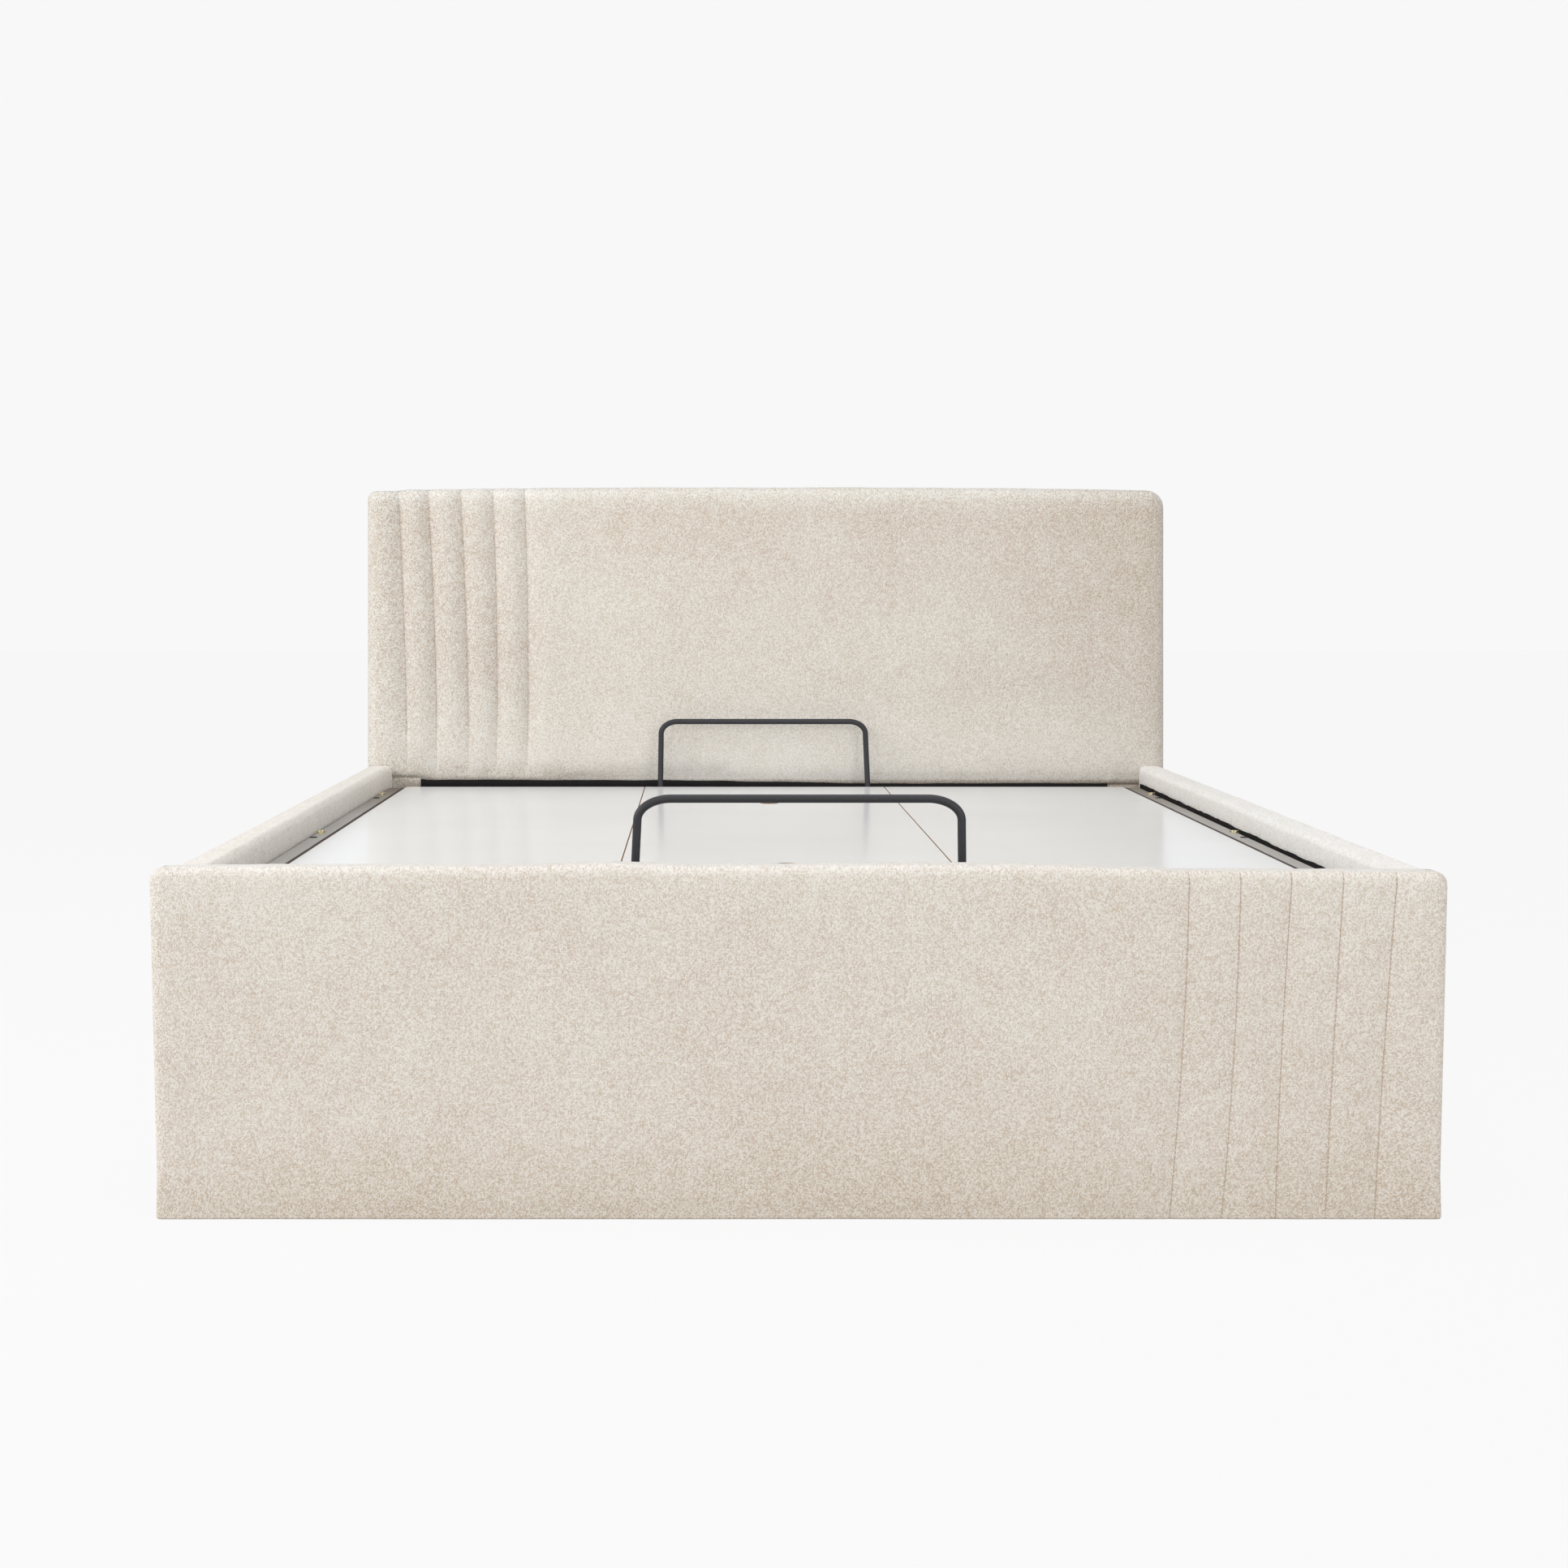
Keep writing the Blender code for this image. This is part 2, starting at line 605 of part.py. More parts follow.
def build_footboard():
    """Pad, panel and the black lining on the inner face."""
    panel_half = OUTER_HALF - PAD_SIDE_WALL
    panel_top = FOOTBOARD_HEIGHT - PAD_TOP_WALL
    panel_front = FRONT_Y + FOOT_FOAM + GAP
    panel_back = FOOT_FACE_Y - FOOT_INNER_FABRIC - GAP
    pad = footboard_pad()
    pocket = block(
        "footboard_pocket",
        TIMBER,
        (-panel_half - GAP, panel_front - GAP, -CUT_OVERRUN),
        (panel_half + GAP, panel_back + GAP, panel_top + GAP),
    )
    combine(pad, pocket, "DIFFERENCE")
    block(
        "footboard_panel",
        TIMBER,
        (-panel_half, panel_front, GLIDE_HEIGHT + GAP),
        (panel_half, panel_back, panel_top),
    )
    lining_half = INNER_HALF - BRACKET_LEG - CUT_OVERRUN
    block(
        "footboard_inner_lining",
        LINING,
        (-lining_half, FOOT_FACE_Y + GAP, FLOOR_TOP + GAP),
        (lining_half, FOOT_FACE_Y + GAP + LINING_THICKNESS, PLATFORM_HEIGHT - FOOT_LINING_BELOW_PLATFORM),
    )


def rail_cover_outline(fabric_edge):
    """The section of a rail's fabric: up the outside, over the top and down the inner face."""
    board_top = RAIL_HEIGHT - RAIL_TOP_FOAM
    inner_skin = RAIL_BOARD_INNER - GAP
    board_outer = RAIL_BOARD_INNER + RAIL_BOARD_THICKNESS
    outer_top = (OUTER_HALF - RAIL_OUTER_ROUND, RAIL_HEIGHT - RAIL_OUTER_ROUND)
    inner_top = (INNER_HALF + RAIL_INNER_ROUND, RAIL_HEIGHT - RAIL_INNER_ROUND)
    return (
        [(OUTER_HALF, RAIL_HEM_HEIGHT)]
        + arc(outer_top, RAIL_OUTER_ROUND, RAIL_OUTER_ROUND, 0, 90)
        + arc(inner_top, RAIL_INNER_ROUND, RAIL_INNER_ROUND, 90, 180)
        + [
            (INNER_HALF, fabric_edge),
            (inner_skin, fabric_edge),
            (inner_skin, board_top + GAP),
            (board_outer + GAP, board_top + GAP),
            (board_outer + GAP, RAIL_HEM_HEIGHT),
        ]
    )


def build_rail(name, side, fabric_edge):
    """One rail: a timber board, its fabric cover, the black lining inside and the ledger for the floor."""
    board_low, board_high = span(side, RAIL_BOARD_INNER, RAIL_BOARD_INNER + RAIL_BOARD_THICKNESS)
    block(
        "rail_board_" + name,
        TIMBER,
        (board_low, RAIL_FOOT_Y, RAIL_HEM_HEIGHT),
        (board_high, RAIL_HEAD_Y, RAIL_HEIGHT - RAIL_TOP_FOAM),
    )
    outline = mirrored(rail_cover_outline(fabric_edge), side)
    extruded("rail_cover_" + name, CHENILLE, [outline], "Y", RAIL_FOOT_Y, RAIL_HEAD_Y)
    lining_low, lining_high = span(side, LINING_FACE, RAIL_BOARD_INNER - GAP)
    block(
        "rail_lining_" + name,
        LINING,
        (lining_low, RAIL_FOOT_Y, LINING_HEM),
        (lining_high, RAIL_HEAD_Y, fabric_edge - GAP),
    )
    ledger_low, ledger_high = span(side, LINING_FACE - GAP - LEDGER_SIZE, LINING_FACE - GAP)
    block(
        "floor_ledger_" + name,
        TIMBER,
        (ledger_low, RAIL_FOOT_Y, FLOOR_HEIGHT - GAP - LEDGER_SIZE),
        (ledger_high, DIVIDER_BACK_Y, FLOOR_HEIGHT - GAP),
    )


def build_storage_box():
    """Floor panels, the beam under their joint, the divider ahead of the pivots, and the glides."""
    floor_half = LINING_FACE - GAP
    floor_front = FOOT_FACE_Y + GAP
    for name, side in SIDES:
        low, high = span(side, GAP, floor_half)
        block(
            "storage_floor_" + name,
            LAMINATE,
            (low, floor_front, FLOOR_HEIGHT),
            (high, DIVIDER_BACK_Y, FLOOR_TOP),
        )
    block(
        "floor_beam",
        TIMBER,
        (-FLOOR_BEAM_WIDTH / 2, floor_front, GLIDE_HEIGHT + GAP),
        (FLOOR_BEAM_WIDTH / 2, DIVIDER_BACK_Y, FLOOR_HEIGHT - GAP),
    )
    block(
        "storage_divider",
        LAMINATE,
        (-floor_half, DIVIDER_BACK_Y - DIVIDER_THICKNESS, FLOOR_TOP + GAP),
        (floor_half, DIVIDER_BACK_Y, PLATFORM_HEIGHT - DIVIDER_BELOW_PLATFORM),
    )
    head_glide_y = BACK_Y - BACK_RECESS - HEAD_PANEL_THICKNESS / 2
    foot_glide_y = (FRONT_Y + FOOT_FOAM + FOOT_FACE_Y - FOOT_INNER_FABRIC) / 2
    glide_x = OUTER_HALF - GLIDE_EDGE
    places = {
        "glide_head_left": (-glide_x, head_glide_y),
        "glide_head_right": (glide_x, head_glide_y),
        "glide_foot_left": (-glide_x, foot_glide_y),
        "glide_foot_right": (glide_x, foot_glide_y),
        "glide_beam_front": (0, FOOT_FACE_Y + BEAM_GLIDE_EDGE),
        "glide_beam_rear": (0, DIVIDER_BACK_Y - BEAM_GLIDE_EDGE),
    }
    for name, (x, y) in places.items():
        radius = FOOT_GLIDE_RADIUS if "foot" in name else GLIDE_RADIUS
        cylinder(name, GLIDE_PLASTIC, (x, y, 0), (x, y, GLIDE_HEIGHT), radius)


def build_corner_brackets():
    """Steel angles inside the four corners, each with its bolt heads."""
    rail_face = LINING_FACE - GAP
    ends = (("head", HEAD_BASE_Y - GAP, -1), ("foot", FOOT_FACE_Y + GAP, 1))
    for end, wall_y, inward in ends:
        for name, side in SIDES:
            corner = (rail_face, wall_y + inward * GAP)
            outline = [
                corner,
                (corner[0], corner[1] + inward * BRACKET_LEG),
                (corner[0] - BRACKET_THICKNESS, corner[1] + inward * BRACKET_LEG),
                (corner[0] - BRACKET_THICKNESS, corner[1] + inward * BRACKET_THICKNESS),
                (corner[0] - BRACKET_LEG, corner[1] + inward * BRACKET_THICKNESS),
                (corner[0] - BRACKET_LEG, corner[1]),
            ]
            bracket = extruded(
                "corner_bracket_" + end + "_" + name,
                GREY_STEEL,
                [mirrored(outline, side)],
                "Z",
                BRACKET_LOW,
                BRACKET_HIGH,
            )
            for height in (BRACKET_LOW + BRACKET_BOLT_MARGIN, BRACKET_HIGH - BRACKET_BOLT_MARGIN):
                seat_x = side * (corner[0] - BRACKET_THICKNESS / 2)
                seat_y = corner[1] + inward * BRACKET_THICKNESS / 2
                head_x = seat_x - side * (BRACKET_THICKNESS / 2 + BOLT_HEAD_HEIGHT)
                head_y = seat_y + inward * (BRACKET_THICKNESS / 2 + BOLT_HEAD_HEIGHT)
                on_rail_y = corner[1] + inward * (BRACKET_LEG - BRACKET_BOLT_INSET)
                on_board_x = side * (corner[0] - BRACKET_BOLT_INSET)
                to_rail = cylinder(
                    bracket.name + "_rail_bolt",
                    GREY_STEEL,
                    (seat_x, on_rail_y, height),
                    (head_x, on_rail_y, height),
                    BOLT_HEAD_RADIUS,
                    12,
                )
                to_board = cylinder(
                    bracket.name + "_board_bolt",
                    GREY_STEEL,
                    (on_board_x, seat_y, height),
                    (on_board_x, head_y, height),
                    BOLT_HEAD_RADIUS,
                    12,
                )
                combine(bracket, to_rail, "UNION")
                combine(bracket, to_board, "UNION")


def build_pivot_bracket(name, side):
    """A plate bolted to the rail, with the welded pin that the lifting frame turns on."""
    plate_outer = LINING_FACE - GAP
    plate_inner = plate_outer - PIVOT_PLATE_THICKNESS
    low, high = span(side, plate_inner, plate_outer)
    shoulder = PIVOT_Z - PIVOT_PLATE_SHOULDER
    bottom = PIVOT_Z - PIVOT_PLATE_DROP
    outline = (
        [(PIVOT_Y - PIVOT_PLATE_HALF_WIDTH, bottom), (PIVOT_Y + PIVOT_PLATE_HALF_WIDTH, bottom)]
        + [(PIVOT_Y + PIVOT_PLATE_HALF_WIDTH, shoulder)]
        + arc((PIVOT_Y, PIVOT_Z), PIVOT_EAR_RADIUS, PIVOT_EAR_RADIUS, 10, 170, 8)
        + [(PIVOT_Y - PIVOT_PLATE_HALF_WIDTH, shoulder)]
    )
    bracket = extruded("pivot_bracket_" + name, GREY_STEEL, [outline], "X", low, high)
    seat_x = side * (plate_inner + PIVOT_PLATE_THICKNESS / 2)
    pin = cylinder(
        bracket.name + "_pin",
        GREY_STEEL,
        (seat_x, PIVOT_Y, PIVOT_Z),
        (side * TUBE_INNER, PIVOT_Y, PIVOT_Z),
        PIVOT_PIN_RADIUS,
        24,
    )
    combine(bracket, pin, "UNION")
    for drop in PIVOT_BOLT_DROPS:
        for offset in (-PIVOT_BOLT_SPREAD, PIVOT_BOLT_SPREAD):
            head = cylinder(
                bracket.name + "_bolt",
                GREY_STEEL,
                (seat_x, PIVOT_Y + offset, PIVOT_Z - drop),
                (side * (plate_inner - BOLT_HEAD_HEIGHT), PIVOT_Y + offset, PIVOT_Z - drop),
                BOLT_HEAD_RADIUS,
                12,
            )
            combine(bracket, head, "UNION")


def build_strut_anchor(name, side):
    """The lower stud of a gas strut, on a small plate bolted to the rail."""
    plate_outer = LINING_FACE - GAP
    plate_inner = plate_outer - ANCHOR_PLATE_THICKNESS
    low, high = span(side, plate_inner, plate_outer)
    anchor = block(
        "strut_anchor_" + name,
        GREY_STEEL,
        (low, LOWER_STUD_Y - ANCHOR_PLATE_HALF_LENGTH, LOWER_STUD_Z - ANCHOR_PLATE_HALF),
        (high, LOWER_STUD_Y + ANCHOR_PLATE_HALF_LENGTH, LOWER_STUD_Z + ANCHOR_PLATE_HALF),
    )
    cap_outer = STRUT_X - EYE_WIDTH / 2 - GAP
    cap_inner = cap_outer - ANCHOR_CAP_THICKNESS
    stud = cylinder(
        anchor.name + "_stud",
        GREY_STEEL,
        (side * (plate_inner + ANCHOR_PLATE_THICKNESS / 2), LOWER_STUD_Y, LOWER_STUD_Z),
        (side * (cap_inner + ANCHOR_CAP_THICKNESS / 2), LOWER_STUD_Y, LOWER_STUD_Z),
        STUD_RADIUS,
        24,
    )
    cap = cylinder(
        anchor.name + "_cap",
        GREY_STEEL,
        (side * cap_outer, LOWER_STUD_Y, LOWER_STUD_Z),
        (side * cap_inner, LOWER_STUD_Y, LOWER_STUD_Z),
        ANCHOR_CAP_RADIUS,
        24,
    )
    combine(anchor, stud, "UNION")
    combine(anchor, cap, "UNION")
    return anchor


def build_frame():
    """The steel lifting frame: two side tubes and five cross tubes."""
    parts = []
    foot_y = BOARD_FOOT_Y + SIDE_TUBE_SETBACK
    head_y = BOARD_HEAD_Y - SIDE_TUBE_SETBACK
    for name, side in SIDES:
        low, high = span(side, TUBE_INNER, TUBE_OUTER)
        outer = rounded_box((low, TUBE_BOTTOM), (high, TUBE_TOP), TUBE_ROUND)
        inner = rounded_box(
            (low + TUBE_WALL, TUBE_BOTTOM + TUBE_WALL),
            (high - TUBE_WALL, TUBE_TOP - TUBE_WALL),
            TUBE_ROUND - TUBE_WALL,
        )
        tube = extruded("side_tube_" + name, GREY_STEEL, [outer, inner], "Y", foot_y, head_y)
        bore = cylinder(
            tube.name + "_pivot_bore",
            GREY_STEEL,
            (low - CUT_OVERRUN, PIVOT_Y, PIVOT_Z),
            (high + CUT_OVERRUN, PIVOT_Y, PIVOT_Z),
            PIVOT_PIN_RADIUS + PIVOT_RUNNING_GAP,
            24,
        )
        combine(tube, bore, "DIFFERENCE")
        bolt_x = side * (TUBE_OUTER - FRAME_BOLT_INSET)
        bolts = (("front", PIVOT_Y - FRAME_BOLT_BEFORE_PIVOT), ("rear", PIVOT_Y + FRAME_BOLT_AFTER_PIVOT))
        for spot, bolt_y in bolts:
            hole = cylinder(
                tube.name + "_hole",
                GREY_STEEL,
                (bolt_x, bolt_y - FRAME_HOLE_OFFSET, TUBE_TOP - TUBE_WALL - TUBE_WALL),
                (bolt_x, bolt_y - FRAME_HOLE_OFFSET, TUBE_TOP + CUT_OVERRUN),
                FRAME_HOLE_RADIUS,
                16,
            )
            combine(tube, hole, "DIFFERENCE")
            parts.append(
                cylinder(
                    "frame_bolt_" + name + "_" + spot,
                    YELLOW_ZINC,
                    (bolt_x, bolt_y, TUBE_TOP + GAP),
                    (bolt_x, bolt_y, TUBE_TOP + GAP + FRAME_BOLT_HEIGHT),
                    BOLT_HEAD_RADIUS,
                    6,
                )
            )
        parts.append(tube)
    cross_places = {
        "foot": BOARD_FOOT_Y + END_TUBE_SETBACK,
        "front": PIVOT_Y - FRONT_TUBE_BEFORE_PIVOT,
        "middle": PIVOT_Y - MIDDLE_TUBE_BEFORE_PIVOT,
        "pivot": PIVOT_Y,
        "head": BOARD_HEAD_Y - END_TUBE_SETBACK,
    }
    cross_end = TUBE_INNER - GAP
    top = BOARD_BOTTOM - GAP
    for name, y in cross_places.items():
        half = CROSS_TUBE_WIDTH / 2
        outer = rounded_box((y - half, top - CROSS_TUBE_DEPTH), (y + half, top), CROSS_TUBE_ROUND)
        inner = rounded_box(
            (y - half + TUBE_WALL, top - CROSS_TUBE_DEPTH + TUBE_WALL),
            (y + half - TUBE_WALL, top - TUBE_WALL),
            CROSS_TUBE_ROUND - TUBE_WALL,
        )
        parts.append(
            extruded("cross_tube_" + name, GREY_STEEL, [outer, inner], "X", -cross_end, cross_end)
        )
    return parts


def build_boards():
    """Three equal laminated boards, the middle one with two vent holes."""
    width = 2 * BOARDS_HALF / 3
    parts = []
    for index, name in enumerate(("left", "centre", "right")):
        low = -BOARDS_HALF + index * width
        board = block(
            "platform_board_" + name,
            LAMINATE,
            (low + BOARD_SEAM / 2, BOARD_FOOT_Y, BOARD_BOTTOM),
            (low + width - BOARD_SEAM / 2, BOARD_HEAD_Y, PLATFORM_HEIGHT),
            BOARD_BEVEL,
            1,
        )
        if name == "centre":
            for y in (BOARD_FOOT_Y + VENT_FROM_FOOT_END, BOARD_HEAD_Y - VENT_FROM_HEAD_END):
                vent = cylinder(
                    "vent",
                    LAMINATE,
                    (0, y, BOARD_BOTTOM - CUT_OVERRUN),
                    (0, y, PLATFORM_HEIGHT + CUT_OVERRUN),
                    VENT_RADIUS,
                    28,
                )
                combine(board, vent, "DIFFERENCE")
        parts.append(board)
    return parts


def retainer_path(board_end, outward):
    """The centre line of a bent rod: a foot under the boards, up past their end, across and down."""
    rod = RETAINER_ROD_RADIUS
    foot_z = BOARD_BOTTOM - rod - RETAINER_FOOT_DROP
    rod_y = board_end + outward * (RETAINER_BOARD_GAP + rod)
    top_z = PLATFORM_HEIGHT + RETAINER_RISE - rod
    bend_z = foot_z + RETAINER_BEND
    start_y = rod_y - outward * RETAINER_FOOT_LENGTH
    lean = sin(RETAINER_LEAN) / cos(RETAINER_LEAN)

    def leg_x(z):
        return RETAINER_HALF_SPAN - (z - PLATFORM_HEIGHT) * lean

    leg = [(leg_x(foot_z), start_y, foot_z)]
    for step in range(5):
        angle = radians(90) * step / 4
        y = rod_y - outward * RETAINER_BEND * (1 - sin(angle))
        z = bend_z - RETAINER_BEND * cos(angle)
        leg.append((leg_x(z), y, z))
    corner_z = top_z - RETAINER_CORNER_HEIGHT
    corner_x = leg_x(corner_z) - RETAINER_CORNER_WIDTH
    for step in range(9):
        angle = radians(90) * step / 8
        x = corner_x + RETAINER_CORNER_WIDTH * cos(angle)
        z = corner_z + RETAINER_CORNER_HEIGHT * sin(angle)
        leg.append((x, rod_y, z))
    return leg + [(-x, y, z) for x, y, z in reversed(leg)]


def build_retainer(name, board_end, outward):
    """A bent rod that keeps the mattress from sliding, and the two clamps that hold it under the boards."""
    points = retainer_path(board_end, outward)
    curve = bpy.data.curves.new(name, "CURVE")
    curve.dimensions = "3D"
    curve.bevel_depth = RETAINER_ROD_RADIUS
    curve.bevel_resolution = 3
    curve.use_fill_caps = True
    spline = curve.splines.new("POLY")
    spline.points.add(len(points) - 1)
    for slot, point in zip(spline.points, points):
        slot.co = (*point, 1)
    parts = [curve_to_part("retainer_" + name, curve, BLACK_STEEL, Matrix.Identity(4))]
    foot_x, start_y, foot_z = points[0]
    clamp_y = start_y + outward * (RETAINER_FOOT_LENGTH - CLAMP_FROM_BEND)
    for side_name, side in SIDES:
        x = side * foot_x
        clamp = block(
            "retainer_clamp_" + name + "_" + side_name,
            BLACK_STEEL,
            (x - CLAMP_HALF_WIDTH, clamp_y - CLAMP_HALF_LENGTH, foot_z - RETAINER_ROD_RADIUS - CLAMP_COVER),
            (x + CLAMP_HALF_WIDTH, clamp_y + CLAMP_HALF_LENGTH, BOARD_BOTTOM - GAP),
        )
        channel = cylinder(
            clamp.name + "_channel",
            BLACK_STEEL,
            (x, clamp_y - CLAMP_HALF_LENGTH - CUT_OVERRUN, foot_z),
            (x, clamp_y + CLAMP_HALF_LENGTH + CUT_OVERRUN, foot_z),
            RETAINER_ROD_RADIUS + GAP,
            20,
        )
        combine(clamp, channel, "DIFFERENCE")
        parts.append(clamp)
    return parts


def build_drop_plate(name, side):
    """The plate under a side tube that carries the upper stud of the gas strut."""
    low, high = span(side, TUBE_INNER, TUBE_INNER + DROP_PLATE_THICKNESS)
    plate = block(
        "strut_plate_" + name,
        GREY_STEEL,
        (low, UPPER_STUD_Y - DROP_PLATE_LENGTH / 2, UPPER_STUD_Z - DROP_PLATE_BELOW_STUD),
        (high, UPPER_STUD_Y + DROP_PLATE_LENGTH / 2, TUBE_BOTTOM - GAP),
    )
    stud = cylinder(
        plate.name + "_stud",
        GREY_STEEL,
        (side * (TUBE_INNER + DROP_PLATE_THICKNESS / 2), UPPER_STUD_Y, UPPER_STUD_Z),
        (side * (STRUT_X - EYE_WIDTH / 2 - GAP), UPPER_STUD_Y, UPPER_STUD_Z),
        STUD_RADIUS,
        24,
    )
    return combine(plate, stud, "UNION")


def turned(name, material, profile, place, direction, steps=24):
    """A round piece: its profile of (radius, distance) points is turned about a line from place."""
    mesh = bpy.data.meshes.new(name)
    points = [(radius, 0, along) for radius, along in profile]
    edges = [(index, index + 1) for index in range(len(points) - 1)]
    mesh.from_pydata(points, edges, [])
    turn = Vector((0, 0, 1)).rotation_difference(direction).to_matrix().to_4x4()
    part = add_object(name, mesh, material, Matrix.Translation(place) @ turn)
    screw = part.modifiers.new("turned", "SCREW")
    screw.steps = steps
    screw.render_steps = steps
    screw.use_merge_vertices = True
    screw.merge_threshold = MERGE_DISTANCE
    screw.use_smooth_shade = True
    return part


def build_strut(name, side):
    """One gas strut: a cylinder on the lower stud, and the rod that slides out of it."""
    foot = Vector((side * STRUT_X, LOWER_STUD_Y, LOWER_STUD_Z))
    head = Vector((side * STRUT_X, UPPER_STUD_Y, UPPER_STUD_Z))
    direction = (head - foot).normalized()
    tube_start = EYE_RADIUS - CYLINDER_WALL
    tube_end = STRUT_CLOSED - EYE_RADIUS - STRUT_END_ROOM
    bore = CYLINDER_RADIUS - CYLINDER_WALL
    gland = ROD_RADIUS + GAP
    body = turned(
        "strut_cylinder_" + name,
        BLACK_STEEL,
        [
            (0, tube_start + CYLINDER_BASE),
            (bore, tube_start + CYLINDER_BASE),
            (bore, tube_end - GLAND_LENGTH),
            (gland, tube_end - GLAND_LENGTH),
            (gland, tube_end),
            (CYLINDER_RADIUS, tube_end),
            (CYLINDER_RADIUS, tube_start),
            (0, tube_start),
        ],
        foot,
        direction,
    )
    across = Vector((side * EYE_WIDTH / 2, 0, 0))
    eye = cylinder(body.name + "_eye", BLACK_STEEL, foot - across, foot + across, EYE_RADIUS, 24)
    combine(body, eye, "UNION")
    overrun = Vector((side * CUT_OVERRUN, 0, 0))
    bore_cut = cylinder(
        body.name + "_eye_bore",
        BLACK_STEEL,
        foot - across - overrun,
        foot + across + overrun,
        STUD_RADIUS + PIVOT_RUNNING_GAP,
        24,
    )
    combine(body, bore_cut, "DIFFERENCE")
    piston_start = tube_start + CYLINDER_BASE + PISTON_END_ROOM
    rod = turned(
        "strut_rod_" + name,
        CHROME_ROD,
        [
            (0, STRUT_CLOSED),
            (ROD_RADIUS, STRUT_CLOSED),
            (ROD_RADIUS, piston_start + PISTON_LENGTH),
            (PISTON_RADIUS, piston_start + PISTON_LENGTH),
            (PISTON_RADIUS, piston_start),
            (0, piston_start),
        ],
        foot,
        direction,
    )
    rod_eye = cylinder(rod.name + "_eye", CHROME_ROD, head - across, head + across, EYE_RADIUS, 24)
    combine(rod, rod_eye, "UNION")
    hang_on(axis_empty("strut_axis_" + name, foot), [body, rod])


build_headboard()
build_footboard()
build_rail("left", -1, PLATFORM_HEIGHT - LEFT_FABRIC_BELOW_PLATFORM)
build_rail("right", 1, PLATFORM_HEIGHT + RIGHT_FABRIC_ABOVE_PLATFORM)
build_storage_box()
build_corner_brackets()
LIFTED = build_frame() + build_boards()
LIFTED += build_retainer("head", BOARD_HEAD_Y, 1) + build_retainer("foot", BOARD_FOOT_Y, -1)
for SIDE_NAME, SIDE in SIDES:
    build_pivot_bracket(SIDE_NAME, SIDE)
    build_strut_anchor(SIDE_NAME, SIDE)
    LIFTED.append(build_drop_plate(SIDE_NAME, SIDE))
    build_strut(SIDE_NAME, SIDE)
hang_on(axis_empty("lift_axis", (0, PIVOT_Y, PIVOT_Z)), LIFTED)
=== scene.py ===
"""The looks of a lift-up storage bed: fabric, timber, laminate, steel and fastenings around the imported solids.

Lengths are in metres, with +Z up, the headboard at +Y and the footboard at -Y.
"""

from math import cos, exp, hypot, pi, radians, sin, sqrt, tan, tanh

import bmesh
import bpy
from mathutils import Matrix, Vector, noise


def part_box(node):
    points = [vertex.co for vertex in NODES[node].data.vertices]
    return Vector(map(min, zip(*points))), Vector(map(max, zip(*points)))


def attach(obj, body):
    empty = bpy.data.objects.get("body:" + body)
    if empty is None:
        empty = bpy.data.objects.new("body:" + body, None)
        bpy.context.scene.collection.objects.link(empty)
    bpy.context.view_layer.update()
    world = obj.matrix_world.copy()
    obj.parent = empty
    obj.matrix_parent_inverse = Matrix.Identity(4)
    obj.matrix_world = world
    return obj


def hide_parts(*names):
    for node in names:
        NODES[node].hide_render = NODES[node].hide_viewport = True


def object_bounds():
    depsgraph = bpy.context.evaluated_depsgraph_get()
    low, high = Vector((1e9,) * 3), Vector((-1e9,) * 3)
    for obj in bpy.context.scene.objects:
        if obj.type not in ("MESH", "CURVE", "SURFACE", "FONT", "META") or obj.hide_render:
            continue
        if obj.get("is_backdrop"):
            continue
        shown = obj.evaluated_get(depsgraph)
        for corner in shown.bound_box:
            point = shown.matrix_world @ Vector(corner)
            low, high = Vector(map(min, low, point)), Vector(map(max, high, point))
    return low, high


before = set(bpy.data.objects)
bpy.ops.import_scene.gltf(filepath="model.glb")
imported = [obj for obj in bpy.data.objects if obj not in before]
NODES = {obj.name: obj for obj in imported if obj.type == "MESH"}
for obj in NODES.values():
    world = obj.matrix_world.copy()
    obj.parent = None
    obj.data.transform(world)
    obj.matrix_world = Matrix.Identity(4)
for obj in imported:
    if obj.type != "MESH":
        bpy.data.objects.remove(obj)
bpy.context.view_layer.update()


# Bare timber: the rails' boards, the panels inside headboard and footboard, the floor's ledgers and its beam.
# They are planed softwood and plywood, with the grain along the length, and glued, screwed and stapled.

SIDES = {"left": -1, "right": 1}


def add_node(tree, kind, settings, inputs):
    """Add a node: its settings first, then the values or links of its sockets."""
    made = tree.nodes.new(kind)
    for name, value in settings.items():
        setattr(made, name, value)
    for name, value in inputs.items():
        if isinstance(value, bpy.types.NodeSocket):
            tree.links.new(value, made.inputs[name])
        else:
            made.inputs[name].default_value = value
    return made.outputs


